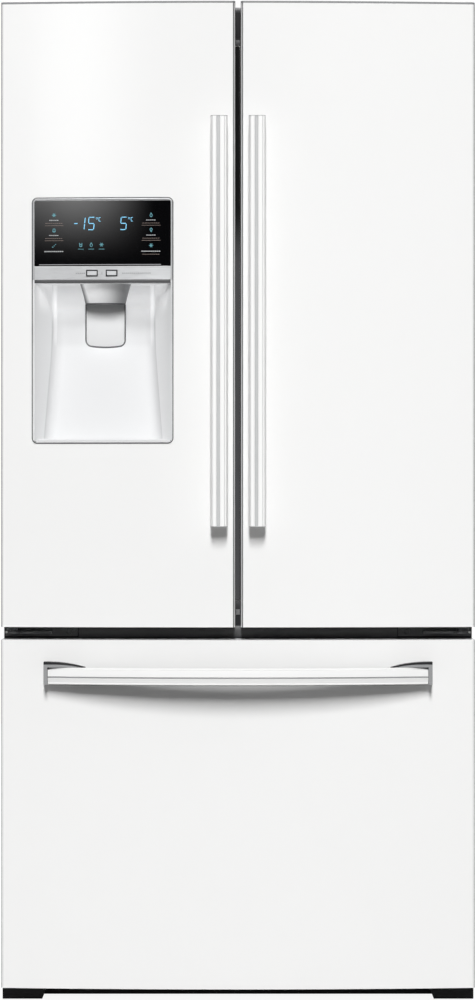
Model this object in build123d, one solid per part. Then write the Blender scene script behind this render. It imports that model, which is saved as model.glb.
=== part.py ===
"""French door refrigerator with a bottom freezer drawer, as an assembly of named nodes.

Millimetres. The front faces -Y, +Z is up, and the origin is the centre of the footprint
on the floor. Each node is written to parts/ in its place in the assembly.
"""
import math
import os

from build123d import *

# Widths, from the centre line outwards
WIDTH = 832.0
SIDE_WALL = 55.0
HALF = WIDTH / 2
INNER_X = HALF - SIDE_WALL

# Depths, from the back wall to the handles
CABINET_DEPTH = 726.0
GASKET_DEPTH = 12.0
DOOR_DEPTH = 85.0
DOOR_BOW = 25.0
HANDLE_REACH = 60.0
BACK_WALL = 60.0
FRAME = 3.0
DEPTH = CABINET_DEPTH + GASKET_DEPTH + DOOR_DEPTH + DOOR_BOW + HANDLE_REACH
BACK = DEPTH / 2
HANDLE_FRONT = -DEPTH / 2
CABINET_FRONT = BACK - CABINET_DEPTH
SHELL_FRONT = CABINET_FRONT + FRAME
DOOR_BACK = CABINET_FRONT - GASKET_DEPTH
DOOR_EDGE = DOOR_BACK - DOOR_DEPTH
DOOR_FRONT = DOOR_EDGE - DOOR_BOW
BOW_RADIUS = (HALF**2 + DOOR_BOW**2) / (2 * DOOR_BOW)
INNER_BACK = BACK - BACK_WALL

# Levels along Z
TOP = 1775.0
BASE = 45.0
COVER_RISE = 25.0
DOOR_RISE = 7.0
DRAWER_LOW = 26.0
DRAWER_TOP = 637.5
HINGE_GAP = 22.5
FREEZER_LAP = 30.5
FRIDGE_LAP = 30.0
FLOOR_WALL = 50.0
TOP_WALL = 50.0
DRAWER = (DRAWER_LOW, DRAWER_TOP)
CABINET = (BASE, TOP - COVER_RISE)
DOOR = (DRAWER_TOP + HINGE_GAP, CABINET[1] + DOOR_RISE)
FREEZER = (BASE + FLOOR_WALL, DRAWER_TOP - FREEZER_LAP)
FRIDGE = (DOOR[0] + FRIDGE_LAP, CABINET[1] - TOP_WALL)

# Sheets, clearances and the machine bay that is stepped into the freezer
SHEET = 1.0
LINER = 2.0
SKIN = 1.2
FIT = 0.2
RUN = 0.08
PAST = 1.0
BAY_DEPTH = 250.0
BAY_TOP = 302.0
BAY_WALL = 50.0
BAY_FRONT = BACK - BAY_DEPTH
STEP_Y = BAY_FRONT - BAY_WALL
STEP_Z = BAY_TOP + BAY_WALL

# Doors
SEAM = 5.0
EDGE_RADIUS = 6.0
CAP = 3.5
GASKET_WIDTH = 18.0
GASKET_GAP = 0.3
GASKET_X = (4.4, HALF - 22.0)
GASKET_Z = (DOOR[0] + 6.0, DOOR[1] - 18.0)
FREEZER_GASKET_Z = (FREEZER[0] - 33.0, FREEZER[1] + 23.0)
DIKE_DEPTH = 58.0
DIKE_INNER = (48.0, 60.0)
DIKE_OUTER = (HALF - 76.0, HALF - 63.0)
DIKE_Z = (FRIDGE[0] + 6.0, FRIDGE[1] - 3.0)

# Hinges
HINGE_X = HALF - 18.0
HINGE_Y = DOOR_BACK - 21.0
PIN_RADIUS = 6.0
LOW_PIN = 30.0
HIGH_PIN = 22.0
BORE_SPARE = 2.0
EYE_RADIUS = 14.0
LEAF = 4.0
TOP_LEAF = (DOOR[1] + 1.5, DOOR[1] + 1.5 + LEAF)
LOW_LEAF = (DRAWER_TOP + 8.5, DRAWER_TOP + 8.5 + LEAF)
LEAF_FOOT = CABINET_FRONT + 10.0
LEAF_BACK = CABINET_FRONT + 92.0

# Flipper bar, which closes the seam
FLIPPER_X = -36.0
FLIPPER_Y = CABINET_FRONT + 9.2
FLIPPER_RADIUS = 8.7
FLIPPER_PIN = 3.0
FLIPPER_BORE = 15.0
FLIPPER = (FRIDGE[0] + 14.0, FRIDGE[1] - 10.0)

# Handles
HANDLE_X = 33.3
HANDLE = (DOOR[0] + 176.0, DOOR[1] - 203.5)
HANDLE_WIDTH = 30.0
HANDLE_THICK = 14.0
GRIP_REACH = 40.0
GRIP_FRONT = DOOR_FRONT - GRIP_REACH
GROOVE_RADIUS = 12.0
GROOVE_DEPTH = 0.8
POST_INSET = 34.0
POST_WIDTH = 18.0
POST_HEIGHT = 40.0
BAR_Z = DRAWER_TOP - 62.5
BAR_HALF = HALF - 83.0
BAR_SAG = 49.99493
BAR_RADIUS = (BAR_HALF**2 + BAR_SAG**2) / (2 * BAR_SAG)
BAR_THICK = 16.0
BAR_HEIGHT = 30.0
BRACKET_LENGTH = 73.0
BRACKET_RISE = 9.5
BRACKET_POST = 43.0
END_PLATE = 7.0

# Dispenser
DISPENSER_SIDE = 55.6
DISPENSER_WIDTH = 245.7
DISPENSER_HEIGHT = 428.5
DISPENSER_DROP = 345.0
DISPENSER_X = (DISPENSER_SIDE - HALF, DISPENSER_SIDE - HALF + DISPENSER_WIDTH)
DISPENSER = (DOOR[1] - DISPENSER_DROP - DISPENSER_HEIGHT, DOOR[1] - DISPENSER_DROP)
DISPENSER_MIDDLE = sum(DISPENSER_X) / 2
CORNER = 8.0
RIM = 3.0
PROUD = 1.5
GLASS = (DISPENSER[1] - 119.0, DISPENSER[1] - 4.0)
STRIP = (GLASS[0] - 23.5, GLASS[0] - 1.5)
RECESS = (DISPENSER[0] + RIM, STRIP[0] - 6.5)
RECESS_BACK = DOOR_BACK - 22.0
RECESS_TAPER = 37.8
RAMP = (30.0, 171.5)
POCKET_BACK = DOOR_BACK - 16.0
BUTTON = (20.7, 11.7)
BUTTON_FLANGE = (25.0, 15.0)
BUTTON_DEPTH = 12.0
BUTTON_X = (DISPENSER_MIDDLE - 18.45, DISPENSER_MIDDLE + 16.05)
BUTTON_Z = STRIP[0] + 11.2
LEVER_WIDTH = 71.7
LEVER_LENGTH = 72.0
LEVER_MIDDLE = DISPENSER_MIDDLE + 3.9
LEVER_X = (LEVER_MIDDLE - LEVER_WIDTH / 2, LEVER_MIDDLE + LEVER_WIDTH / 2)
LEVER_AXIS = (DOOR_BACK - 42.0, RECESS[1] - 40.0)
LEVER_PIN = 2.5

# Door bins
BIN_DEPTH = 130.0
BIN_HEIGHT = 105.0
BIN_WALL = 3.0
BIN_COUNT = 4
BIN_FLOOR = FRIDGE[0] + 32.0
BIN_PITCH = (FRIDGE[1] - FRIDGE[0] - 90.0) / BIN_COUNT
RIGHT_BINS = [BIN_FLOOR + BIN_PITCH * row for row in range(BIN_COUNT)]
LEFT_BINS = [BIN_FLOOR, BIN_FLOOR + 128.0, DISPENSER[1] + 38.0]

# Freezer drawer
RAIL = (FREEZER[0] + 285.0, FREEZER[0] + 315.0)
RAIL_FRONT = CABINET_FRONT + 10.0
RAIL_BACK = STEP_Y - LINER - 22.0
RAIL_WIDTH = 5.0
RAIL_GAP = 0.4
TUB_WALL = 3.0
BASKET_X = INNER_X - 26.0
BASKET_FRONT = CABINET_FRONT + 32.0
BASKET = (FREEZER[0] + 25.0, RAIL[1] + 4.0)
UPPER = (RAIL[1] + 28.4, FREEZER[1] - 22.0)
COVER_FRONT = INNER_BACK - 72.0
UPPER_Y = (CABINET_FRONT + 37.0, COVER_FRONT - 22.0)

# Fridge interior
SHELF_FRONT = CABINET_FRONT + 144.0
SHELF_BACK = INNER_BACK - 6.0
SHELF_X = (8.0, INNER_X - 3.0)
SHELF_RIM = 12.0
PANE = 4.0
LEFT_SHELF_DROP = 470.0
RIGHT_SHELF_DROPS = (270.0, 510.0)
CRISPER_COVER = FRIDGE[0] + 271.0
CRISPER = (FRIDGE[0] + 8.4, CRISPER_COVER - 26.0)
CRISPER_X = (8.0, INNER_X - 31.0)
CRISPER_Y = (SHELF_FRONT + 3.0, SHELF_BACK - 58.0)
GRIP_HALF = 49.0
GRIP_DROP = 26.0
VENT_PITCH = 140.0
VENT_HEIGHT = 12.0
TRACK_X = (132.0, INNER_X - 16.0)
ICE_X = (-INNER_X, -120.0)
ICE_Z = (FRIDGE[1] - 260.0, FRIDGE[1])
ICE_WALL = 6.0

# Machine bay and freezer back
PAN_TOP = BASE + LINER
TRIM_BACK = SHELL_FRONT + 7.0
POT_X = -170.0
POT_RADIUS = 78.0
FAN_X = 30.0
FAN_Y = BACK - 124.0
FAN_Z = BASE + 127.0
SHAFT_RADIUS = 3.0
COIL_X = (INNER_X - 231.0, INNER_X - 41.0)
COLD_FAN_Z = FREEZER[1] - 59.0
COLD_COIL_X = INNER_X - 111.0
FIN_COUNT = 26
WHEEL_X = HALF - 71.0
ROLLER_Y = BACK - 84.0
ROLLER_RADIUS = 22.0
AXLE_RADIUS = 4.0
LEG = (HALF - 40.0, CABINET_FRONT + 34.0)


def block(x, y, z):
    """Box between low and high limits on each axis."""
    size = (x[1] - x[0], y[1] - y[0], z[1] - z[0])
    return Pos((x[0] + x[1]) / 2, (y[0] + y[1]) / 2, (z[0] + z[1]) / 2) * Box(*size)


def around(middle, half):
    """Limits at the same distance on both sides of a place."""
    return (middle - half, middle + half)


def rod_x(y, z, x, radius):
    """Cylinder along X."""
    return Pos((x[0] + x[1]) / 2, y, z) * Rot(0, 90, 0) * Cylinder(radius, x[1] - x[0])


def rod_y(x, z, y, radius):
    """Cylinder along Y."""
    return Pos(x, (y[0] + y[1]) / 2, z) * Rot(90, 0, 0) * Cylinder(radius, y[1] - y[0])


def rod_z(x, y, z, radius):
    """Cylinder along Z."""
    return Pos(x, y, (z[0] + z[1]) / 2) * Cylinder(radius, z[1] - z[0])


def prism_x(points, x):
    """Extrude a (y, z) outline along X."""
    face = make_face(Polyline(*[(x[0], y, z) for y, z in points], close=True))
    return extrude(face, amount=x[1] - x[0], dir=(1, 0, 0))


def prism_y(points, y):
    """Extrude an (x, z) outline along Y."""
    face = make_face(Polyline(*[(px, y[0], pz) for px, pz in points], close=True))
    return extrude(face, amount=y[1] - y[0], dir=(0, 1, 0))


def prism_z(points, z):
    """Extrude an (x, y) outline along Z."""
    face = make_face(Polyline(*[(px, py, z[0]) for px, py in points], close=True))
    return extrude(face, amount=z[1] - z[0], dir=(0, 0, 1))


def mirrored(shape):
    """The mirror image on the other side of the centre plane."""
    return mirror(shape, about=Plane.YZ)


def both(shape):
    """A shape and its mirror image, as two solids."""
    return [shape, mirrored(shape)]


def front_y(x, inset=0.0):
    """Y of the bowed front at x, set back by inset."""
    return DOOR_FRONT + BOW_RADIUS - math.sqrt((BOW_RADIUS - inset) ** 2 - x**2)


def slab(x, z, inset, back=DOOR_BACK, radius=0.0):
    """Solid between the bowed front and a flat back, with rounded front edges."""
    left, right = x
    middle = (left + right) / 2
    points = [(px, front_y(px, inset), z[0]) for px in (left, middle, right)]
    front = ThreePointArc(*points)
    rest = Polyline(points[2], (right, back, z[0]), (left, back, z[0]), points[0])
    solid = extrude(make_face([*front.edges(), *rest.edges()]), amount=z[1] - z[0], dir=(0, 0, 1))
    if radius:
        solid = fillet(solid.edges().filter_by(Axis.Z).sort_by(Axis.Y)[:2], radius)
    return solid


def layer(x, z, outer, inner):
    """Bowed sheet between two insets of the door front."""
    return slab(x, z, outer) - slab((x[0] - PAST, x[1] + PAST), (z[0] - PAST, z[1] + PAST), inner)


def ring_y(x, y, z, rim):
    """Rectangular frame lying in a plane of constant Y."""
    hole = block((x[0] + rim, x[1] - rim), (y[0] - PAST, y[1] + PAST), (z[0] + rim, z[1] - rim))
    return block(x, y, z) - hole


def tub(x, y, z, wall):
    """Box that is open at the top, with rounded upright edges."""
    outer = fillet(block(x, y, z).edges().filter_by(Axis.Z), 3 * wall)
    inner = block((x[0] + wall, x[1] - wall), (y[0] + wall, y[1] - wall), (z[0] + wall, z[1] + wall))
    return outer - fillet(inner.edges().filter_by(Axis.Z), 2 * wall)


def save(node, *shapes):
    """Write one node; several shapes stay separate solids of it."""
    solids = [solid for shape in shapes for solid in shape.solids()]
    export_step(solids[0] if len(solids) == 1 else Compound(solids), f"parts/{node}.step")


def cabinet():
    """Outer sheets, foam, liners and the face that the gaskets close on."""
    shell_y = (SHELL_FRONT, BACK - SHEET)
    sheet_x = around(0, HALF - SHEET)
    foam_z = (PAN_TOP, CABINET[1] - SHEET)
    hollow = block(sheet_x, (shell_y[0] - PAST, shell_y[1] + PAST), (CABINET[0] - PAST, foam_z[1]))
    save("cabinet_wrapper", block((-HALF, HALF), shell_y, CABINET) - hollow)
    save("back_panel", block(sheet_x, (BACK - SHEET, BACK), (BAY_TOP, foam_z[1])))

    wall_x = INNER_X + LINER
    wall_y = INNER_BACK + LINER
    across = (-wall_x, wall_x)
    floor_z = FREEZER[0] - LINER
    step_z = STEP_Z - LINER
    side = block((wall_x, HALF - SHEET), shell_y, foam_z)
    save(
        "cabinet_insulation",
        *both(side),
        block(across, shell_y, (FRIDGE[1] + LINER, foam_z[1])),
        block(across, (SHELL_FRONT, wall_y), (FREEZER[1] + LINER, FRIDGE[0] - LINER)),
        block(across, (wall_y, shell_y[1]), (BAY_TOP, FRIDGE[1] + LINER)),
        block(across, (SHELL_FRONT, BAY_FRONT), (foam_z[0], floor_z)),
        block(across, (STEP_Y, BAY_FRONT), (floor_z, BAY_TOP)),
        block(across, (STEP_Y, wall_y), (BAY_TOP, step_z)),
    )

    room = block(around(0, INNER_X), (SHELL_FRONT - PAST, INNER_BACK), FRIDGE)
    fridge = block(across, (SHELL_FRONT, wall_y), (FRIDGE[0] - LINER, FRIDGE[1] + LINER)) - room
    runner_y = (CRISPER_Y[0] + 5, CRISPER_Y[1] + 10)
    for x in (CRISPER_X[0] + 22, CRISPER_X[1] - 20):
        runner = block(around(x, 6), runner_y, (FRIDGE[0], CRISPER[0] - RAIL_GAP))
        fridge += runner
        fridge += mirrored(runner)
    ledge_z = (CRISPER_COVER - 8, CRISPER_COVER)
    ledge = block((INNER_X - 17, INNER_X), (SHELF_FRONT, SHELF_BACK), ledge_z)
    fridge += ledge
    fridge += mirrored(ledge)
    save("fridge_liner", fridge)

    outline = [
        (SHELL_FRONT, floor_z),
        (STEP_Y, floor_z),
        (STEP_Y, step_z),
        (wall_y, step_z),
        (wall_y, FREEZER[1] + LINER),
        (SHELL_FRONT, FREEZER[1] + LINER),
    ]
    inside = [
        (SHELL_FRONT - PAST, FREEZER[0]),
        (STEP_Y - LINER, FREEZER[0]),
        (STEP_Y - LINER, STEP_Z),
        (INNER_BACK, STEP_Z),
        (INNER_BACK, FREEZER[1]),
        (SHELL_FRONT - PAST, FREEZER[1]),
    ]
    freezer = prism_x(outline, across) - prism_x(inside, around(0, INNER_X))
    runner_z = (UPPER[0] - 8 - RAIL_GAP, UPPER[0] - RAIL_GAP)
    runner = block((INNER_X - 20, INNER_X), (BASKET_FRONT, UPPER_Y[1]), runner_z)
    freezer += runner
    freezer += mirrored(runner)
    save("freezer_liner", freezer)

    face = block((-HALF, HALF), (CABINET_FRONT, SHELL_FRONT), CABINET)
    for opening in (FRIDGE, FREEZER):
        face -= block(around(0, INNER_X), (CABINET_FRONT - PAST, SHELL_FRONT + PAST), opening)
    save("front_frame", face)


def base():
    """Base pan, feet, rollers and the black trim along the floor."""
    sheet_x = around(0, HALF - SHEET)
    pan = block(sheet_x, (TRIM_BACK, BACK - SHEET), (BASE, PAN_TOP))
    for x in (WHEEL_X - 13, WHEEL_X + 13):
        ear = block(around(x, 2), around(ROLLER_Y, 16), (12, BASE))
        ear -= rod_x(ROLLER_Y, ROLLER_RADIUS, around(x, 5), AXLE_RADIUS + RUN)
        pan += ear
        pan += mirrored(ear)
    save("base_pan", pan)

    wheel = rod_x(ROLLER_Y, ROLLER_RADIUS, around(WHEEL_X, 9), ROLLER_RADIUS)
    wheel = fillet(wheel.edges(), 2)
    wheel += rod_x(ROLLER_Y, ROLLER_RADIUS, around(WHEEL_X, 17), AXLE_RADIUS)
    save("rear_rollers", *both(wheel))

    pad = 8.0
    foot = rod_z(*LEG, (0, pad), 18) + rod_z(*LEG, (pad, BASE), 7)
    save("levelling_legs", *both(foot))

    grille = block(sheet_x, (SHELL_FRONT, TRIM_BACK), (4, PAN_TOP))
    for row in range(3):
        z = 12 + 10 * row
        grille -= block(around(0, HALF - 116), (SHELL_FRONT - PAST, TRIM_BACK - 3), (z, z + 4))
    low, high = 1.5, 22.0
    outline = [(HALF - 70, low), (HALF, low), (HALF, high), (HALF - 77, high)]
    cover = prism_y(outline, (CABINET_FRONT - 53, SHELL_FRONT + PAST))
    cover = fillet(cover.edges().filter_by(Axis.X).sort_by(Axis.Y)[:1], 3)
    save("toe_grille", grille + cover + mirrored(cover))


def hinges():
    """Top and middle hinges with their pins, covers and screws."""
    leaf_x = (HINGE_X - 48, HINGE_X + EYE_RADIUS)
    leaf = block(leaf_x, (HINGE_Y, LEAF_BACK), TOP_LEAF)
    leaf += rod_z(HINGE_X, HINGE_Y, TOP_LEAF, EYE_RADIUS)
    leaf += block(leaf_x, (LEAF_FOOT, LEAF_BACK), (CABINET[1], TOP_LEAF[0]))
    leaf += rod_z(HINGE_X, HINGE_Y, (DOOR[1] - HIGH_PIN, TOP_LEAF[1]), PIN_RADIUS)
    save("top_hinges", *both(leaf))

    gap = 0.5
    nose = HINGE_Y - 15
    rim = TOP_LEAF[0] - 0.3
    outline = [
        (nose, rim),
        (nose, TOP_LEAF[1] + 2 * gap),
        (LEAF_BACK, TOP),
        (LEAF_BACK + 60, TOP),
        (LEAF_BACK + 72, CABINET[1]),
        (LEAF_FOOT, CABINET[1]),
        (LEAF_FOOT, rim),
    ]
    cover = prism_x(outline, (HINGE_X - 60, HALF - SHEET))
    cover -= block(
        (leaf_x[0] - gap, leaf_x[1] + gap),
        (nose - PAST, LEAF_BACK + gap),
        (CABINET[1] - PAST, TOP_LEAF[1] + gap),
    )
    save("top_hinge_covers", *both(cover))

    flange = CABINET_FRONT - 3
    outer = HINGE_X + 16
    leaf = block((HINGE_X - 68, outer), (HINGE_Y, CABINET_FRONT), LOW_LEAF)
    leaf += rod_z(HINGE_X, HINGE_Y, LOW_LEAF, EYE_RADIUS)
    leaf += block((HINGE_X - 113, outer), (flange, CABINET_FRONT), (DRAWER_TOP + 3.5, DOOR[0] - 3))
    leaf += rod_z(HINGE_X, HINGE_Y, (LOW_LEAF[1], DOOR[0] + LOW_PIN), PIN_RADIUS)
    save("middle_hinges", *both(leaf))

    head = rod_y(HINGE_X - 98, DRAWER_TOP + 11.5, (flange - 3, flange), 5)
    screws = both(fillet(head.edges().sort_by(Axis.Y)[:1], 1.5))
    for y in (CABINET_FRONT + 27, CABINET_FRONT + 72):
        screws += both(rod_z(HINGE_X - 33, y, (TOP_LEAF[1], TOP_LEAF[1] + gap), 4))
    save("hinge_screws", *screws)


def door_shell(x, z, cap):
    """Skin and foamed core of one bowed front; cap is the height left free at each end."""
    inner_z = (z[0] + cap, z[1] - cap)
    inner_x = (x[0] + SKIN, x[1] - SKIN)
    over_z = (z[0] - PAST, z[1] + PAST)
    hollow = slab(inner_x, over_z, SKIN, DOOR_BACK + PAST, EDGE_RADIUS - SKIN)
    skin = slab(x, inner_z, 0, DOOR_BACK, EDGE_RADIUS) - hollow
    core = slab(inner_x, inner_z, SKIN + FIT, DOOR_BACK, EDGE_RADIUS)
    return skin, core


def gasket(x, z):
    """Seal on the back of a front, just short of the cabinet face."""
    frame = ring_y(x, (DOOR_BACK, CABINET_FRONT - GASKET_GAP), z, GASKET_WIDTH)
    return fillet(frame.edges().filter_by(Axis.Y), 3)


def bins(levels):
    """One open bin between the dikes at each level."""
    x = (DIKE_INNER[1] + FIT, DIKE_OUTER[0] - FIT)
    y = (DOOR_BACK, DOOR_BACK + BIN_DEPTH)
    return [tub(x, y, (z, z + BIN_HEIGHT), BIN_WALL) for z in levels]


def bin_lugs(levels):
    """Small shelves on the dikes, one pair under each bin."""
    y = (DOOR_BACK, DOOR_BACK + DIKE_DEPTH)
    reach = 8.0
    inner = (DIKE_INNER[1] - PAST, DIKE_INNER[1] + reach)
    outer = (DIKE_OUTER[0] - reach, DIKE_OUTER[0] + PAST)
    return [block(x, y, (z - 6, z)) for z in levels for x in (inner, outer)]


def bar_handle():
    """Upright bar with a shallow groove down its front, on two posts."""
    back = GRIP_FRONT + HANDLE_THICK
    bar = block(around(HANDLE_X, HANDLE_WIDTH / 2), (GRIP_FRONT, back), HANDLE)
    bar = fillet(bar.edges().filter_by(Axis.Z), 5)
    bar -= rod_z(HANDLE_X, GRIP_FRONT - GROOVE_RADIUS + GROOVE_DEPTH, HANDLE, GROOVE_RADIUS)
    for z in (HANDLE[0] + POST_INSET, HANDLE[1] - POST_INSET):
        post_z = around(z, POST_HEIGHT / 2)
        post = block(around(HANDLE_X, POST_WIDTH / 2), (back, DOOR_EDGE), post_z)
        post = fillet(post.edges().filter_by(Axis.Y), 6)
        bar += post - slab((0, 2 * HANDLE_X), around(z, POST_HEIGHT), 0)
    return bar


def doors():
    """Both upper doors with everything fixed to them, and the flipper bar."""
    skin, core = door_shell((SEAM, HALF), DOOR, CAP)
    bore = PIN_RADIUS + RUN
    bores = rod_z(HINGE_X, HINGE_Y, (DOOR[0] - PAST, DOOR[0] + LOW_PIN + BORE_SPARE), bore)
    bores += rod_z(HINGE_X, HINGE_Y, (DOOR[1] - HIGH_PIN - BORE_SPARE, DOOR[1] + PAST), bore)
    caps = []
    for z in ((DOOR[0], DOOR[0] + CAP), (DOOR[1] - CAP, DOOR[1])):
        caps.append(slab((SEAM, HALF), z, 0, DOOR_BACK, EDGE_RADIUS) - bores)
    core -= bores
    for x in (DIKE_INNER, DIKE_OUTER):
        core += block(x, (DOOR_BACK - PAST, DOOR_BACK + DIKE_DEPTH), DIKE_Z)
    seal = gasket(GASKET_X, GASKET_Z)
    handle = bar_handle()

    save("right_door_skin", skin)
    save("right_door_caps", *caps)
    save("right_door_liner", core + bin_lugs(RIGHT_BINS))
    save("right_door_gasket", seal)
    save("right_door_bins", *bins(RIGHT_BINS))
    save("right_handle", handle)

    opening = block(DISPENSER_X, (DOOR_FRONT - 20, POCKET_BACK), DISPENSER)
    opening = fillet(opening.edges().filter_by(Axis.Y), CORNER)
    left_core = mirrored(core + bin_lugs(LEFT_BINS)) - opening
    bracket_x = (-DIKE_INNER[0] - 2, FLIPPER_X + 8)
    bracket_y = (CABINET_FRONT + 0.6, CABINET_FRONT + 18)
    pin = FLIPPER_BORE - PAST
    for bracket_z, pin_z in (
        ((FLIPPER[1] + 0.5, DIKE_Z[1]), (FLIPPER[1] - pin, FLIPPER[1] + PAST)),
        ((DIKE_Z[0], FLIPPER[0] - 0.5), (FLIPPER[0] - PAST, FLIPPER[0] + pin)),
    ):
        left_core += block(bracket_x, bracket_y, bracket_z)
        left_core += rod_z(FLIPPER_X, FLIPPER_Y, pin_z, FLIPPER_PIN)
    save("left_door_skin", mirrored(skin) - opening)
    save("left_door_caps", *[mirrored(cap) for cap in caps])
    save("left_door_liner", left_core)
    save("left_door_gasket", mirrored(seal))
    save("left_door_bins", *[mirrored(one) for one in bins(LEFT_BINS)])
    save("left_handle", mirrored(handle))

    low, high = around(FLIPPER_Y, FLIPPER_RADIUS)
    slant = 1.5
    bar = prism_z([(FLIPPER_X, low), (slant, low), (-slant, high), (FLIPPER_X, high)], FLIPPER)
    bar += rod_z(FLIPPER_X, FLIPPER_Y, FLIPPER, FLIPPER_RADIUS)
    for z in ((FLIPPER[0] - PAST, FLIPPER[0] + FLIPPER_BORE), (FLIPPER[1] - FLIPPER_BORE, FLIPPER[1] + PAST)):
        bar -= rod_z(FLIPPER_X, FLIPPER_Y, z, FLIPPER_PIN + RUN)
    save("flipper_bar", bar)


def dispenser():
    """Recess moulding with its control glass, then the strip, the chute and the paddle."""
    x = (DISPENSER_X[0] + FIT, DISPENSER_X[1] - FIT)
    z = (DISPENSER[0] + FIT, DISPENSER[1] - FIT)
    inner_x = (DISPENSER_X[0] + RIM, DISPENSER_X[1] - RIM)
    fitted_x = (inner_x[0] + FIT, inner_x[1] - FIT)
    housing = slab(x, z, -PROUD, POCKET_BACK)
    housing = fillet(housing.edges().filter_by(Axis.Y), CORNER)
    ahead = DOOR_FRONT - 36
    taper_y = DOOR_EDGE - 15
    back_x = (DISPENSER_X[0] + RECESS_TAPER, DISPENSER_X[1] - RECESS_TAPER)
    plan = [(inner_x[0], ahead), (inner_x[1], ahead), (inner_x[1], taper_y)]
    plan += [(back_x[1], RECESS_BACK), (back_x[0], RECESS_BACK), (inner_x[0], taper_y)]
    side = [(ahead, RECESS[0]), (RECESS_BACK - RAMP[0], RECESS[0]), (RECESS_BACK, RECESS[0] + RAMP[1])]
    side += [(RECESS_BACK, RECESS[1]), (ahead, RECESS[1])]
    housing -= prism_z(plan, RECESS) & prism_x(side, DISPENSER_X)
    glass_inset, strip_inset = 2.0, 6.0
    housing -= layer(inner_x, GLASS, -6, glass_inset)
    housing -= layer(inner_x, STRIP, -6, strip_inset)
    board = 4.0
    housing -= block(
        (inner_x[0] + board, inner_x[1] - board),
        (DOOR_EDGE + 3, POCKET_BACK - board),
        (GLASS[0] + board, GLASS[1] - board),
    )
    for button_x in BUTTON_X:
        well_y = (DOOR_FRONT + 4, DOOR_EDGE + 9)
        housing -= block(around(button_x, 14), well_y, around(BUTTON_Z, 8.5))
    save("dispenser_housing", housing)
    save("control_glass", layer(fitted_x, GLASS, -1, glass_inset))
    strip_and_buttons(fitted_x, strip_inset)
    chute_and_lever()


def strip_and_buttons(x, inset):
    """Metal strip under the glass, with two flanged buttons that press into it."""
    strip = layer(x, STRIP, -1.2, inset)
    wide, tall = (size / 2 for size in BUTTON)
    flange_wide, flange_tall = (size / 2 for size in BUTTON_FLANGE)
    play = 0.4
    for node, button_x in zip(("ice_button", "water_button"), BUTTON_X):
        hole_y = (DOOR_FRONT - 10, DOOR_BACK)
        strip -= block(around(button_x, wide), hole_y, around(BUTTON_Z, tall))
        front = front_y(button_x) - 2.2
        back = front + BUTTON_DEPTH
        cap = block(around(button_x, wide - play), (front, back), around(BUTTON_Z, tall - play))
        cap = fillet(cap.edges().group_by(Axis.Y)[0], 1.2)
        cap += block(around(button_x, flange_wide), (back - 2.2, back), around(BUTTON_Z, flange_tall))
        save(node, cap)
    save("dispenser_strip", strip)


def chute_and_lever():
    """Tapered ice chute under the recess ceiling, and the paddle that swings below it."""
    axis_y, axis_z = LEVER_AXIS
    ceiling = RECESS[1]
    top = Plane((LEVER_MIDDLE + 0.75, axis_y - 27, ceiling), z_dir=(0, 0, 1))
    low = Plane((LEVER_MIDDLE + 0.05, axis_y - 27, axis_z + 6.5), z_dir=(0, 0, 1))
    chute = loft([low * Rectangle(LEVER_WIDTH, 28), top * Rectangle(89.8, 34)])
    chute -= loft([low.offset(-1) * Rectangle(65, 22), top.offset(-4) * Rectangle(82, 28)])
    flange_x = (LEVER_MIDDLE - 46.35, LEVER_MIDDLE + 47.65)
    chute += block(flange_x, (axis_y - 45, axis_y + 10), (ceiling - 4, ceiling))
    ear = (3.0, 7.5)
    for ear_x in ((LEVER_X[0] - ear[1], LEVER_X[0] - ear[0]), (LEVER_X[1] + ear[0], LEVER_X[1] + ear[1])):
        chute += block(ear_x, around(axis_y, 7), (axis_z - 7, ceiling - 3))
    chute -= rod_x(axis_y, axis_z, flange_x, LEVER_PIN + RUN)
    save("ice_chute", chute)

    paddle = block(LEVER_X, (axis_y - 10, axis_y - 5), (axis_z - LEVER_LENGTH, axis_z + 5))
    corners = paddle.edges().filter_by(Axis.Y).sort_by(Axis.Z)[:2]
    paddle = fillet(corners, 12)
    paddle = fillet(paddle.faces().sort_by(Axis.Y)[0].edges(), 1.2)
    rib_x = (LEVER_X[0] + 7.5, LEVER_X[1] - 7.2)
    paddle += block(rib_x, (axis_y - 6, axis_y + 4), around(axis_z, 4))
    paddle += rod_x(axis_y, axis_z, (LEVER_X[0] - 0.5, LEVER_X[1] + 0.5), 2 * LEVER_PIN)
    paddle += rod_x(axis_y, axis_z, (LEVER_X[0] - 7, LEVER_X[1] + 7), LEVER_PIN)
    save("dispenser_lever", paddle)


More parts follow.
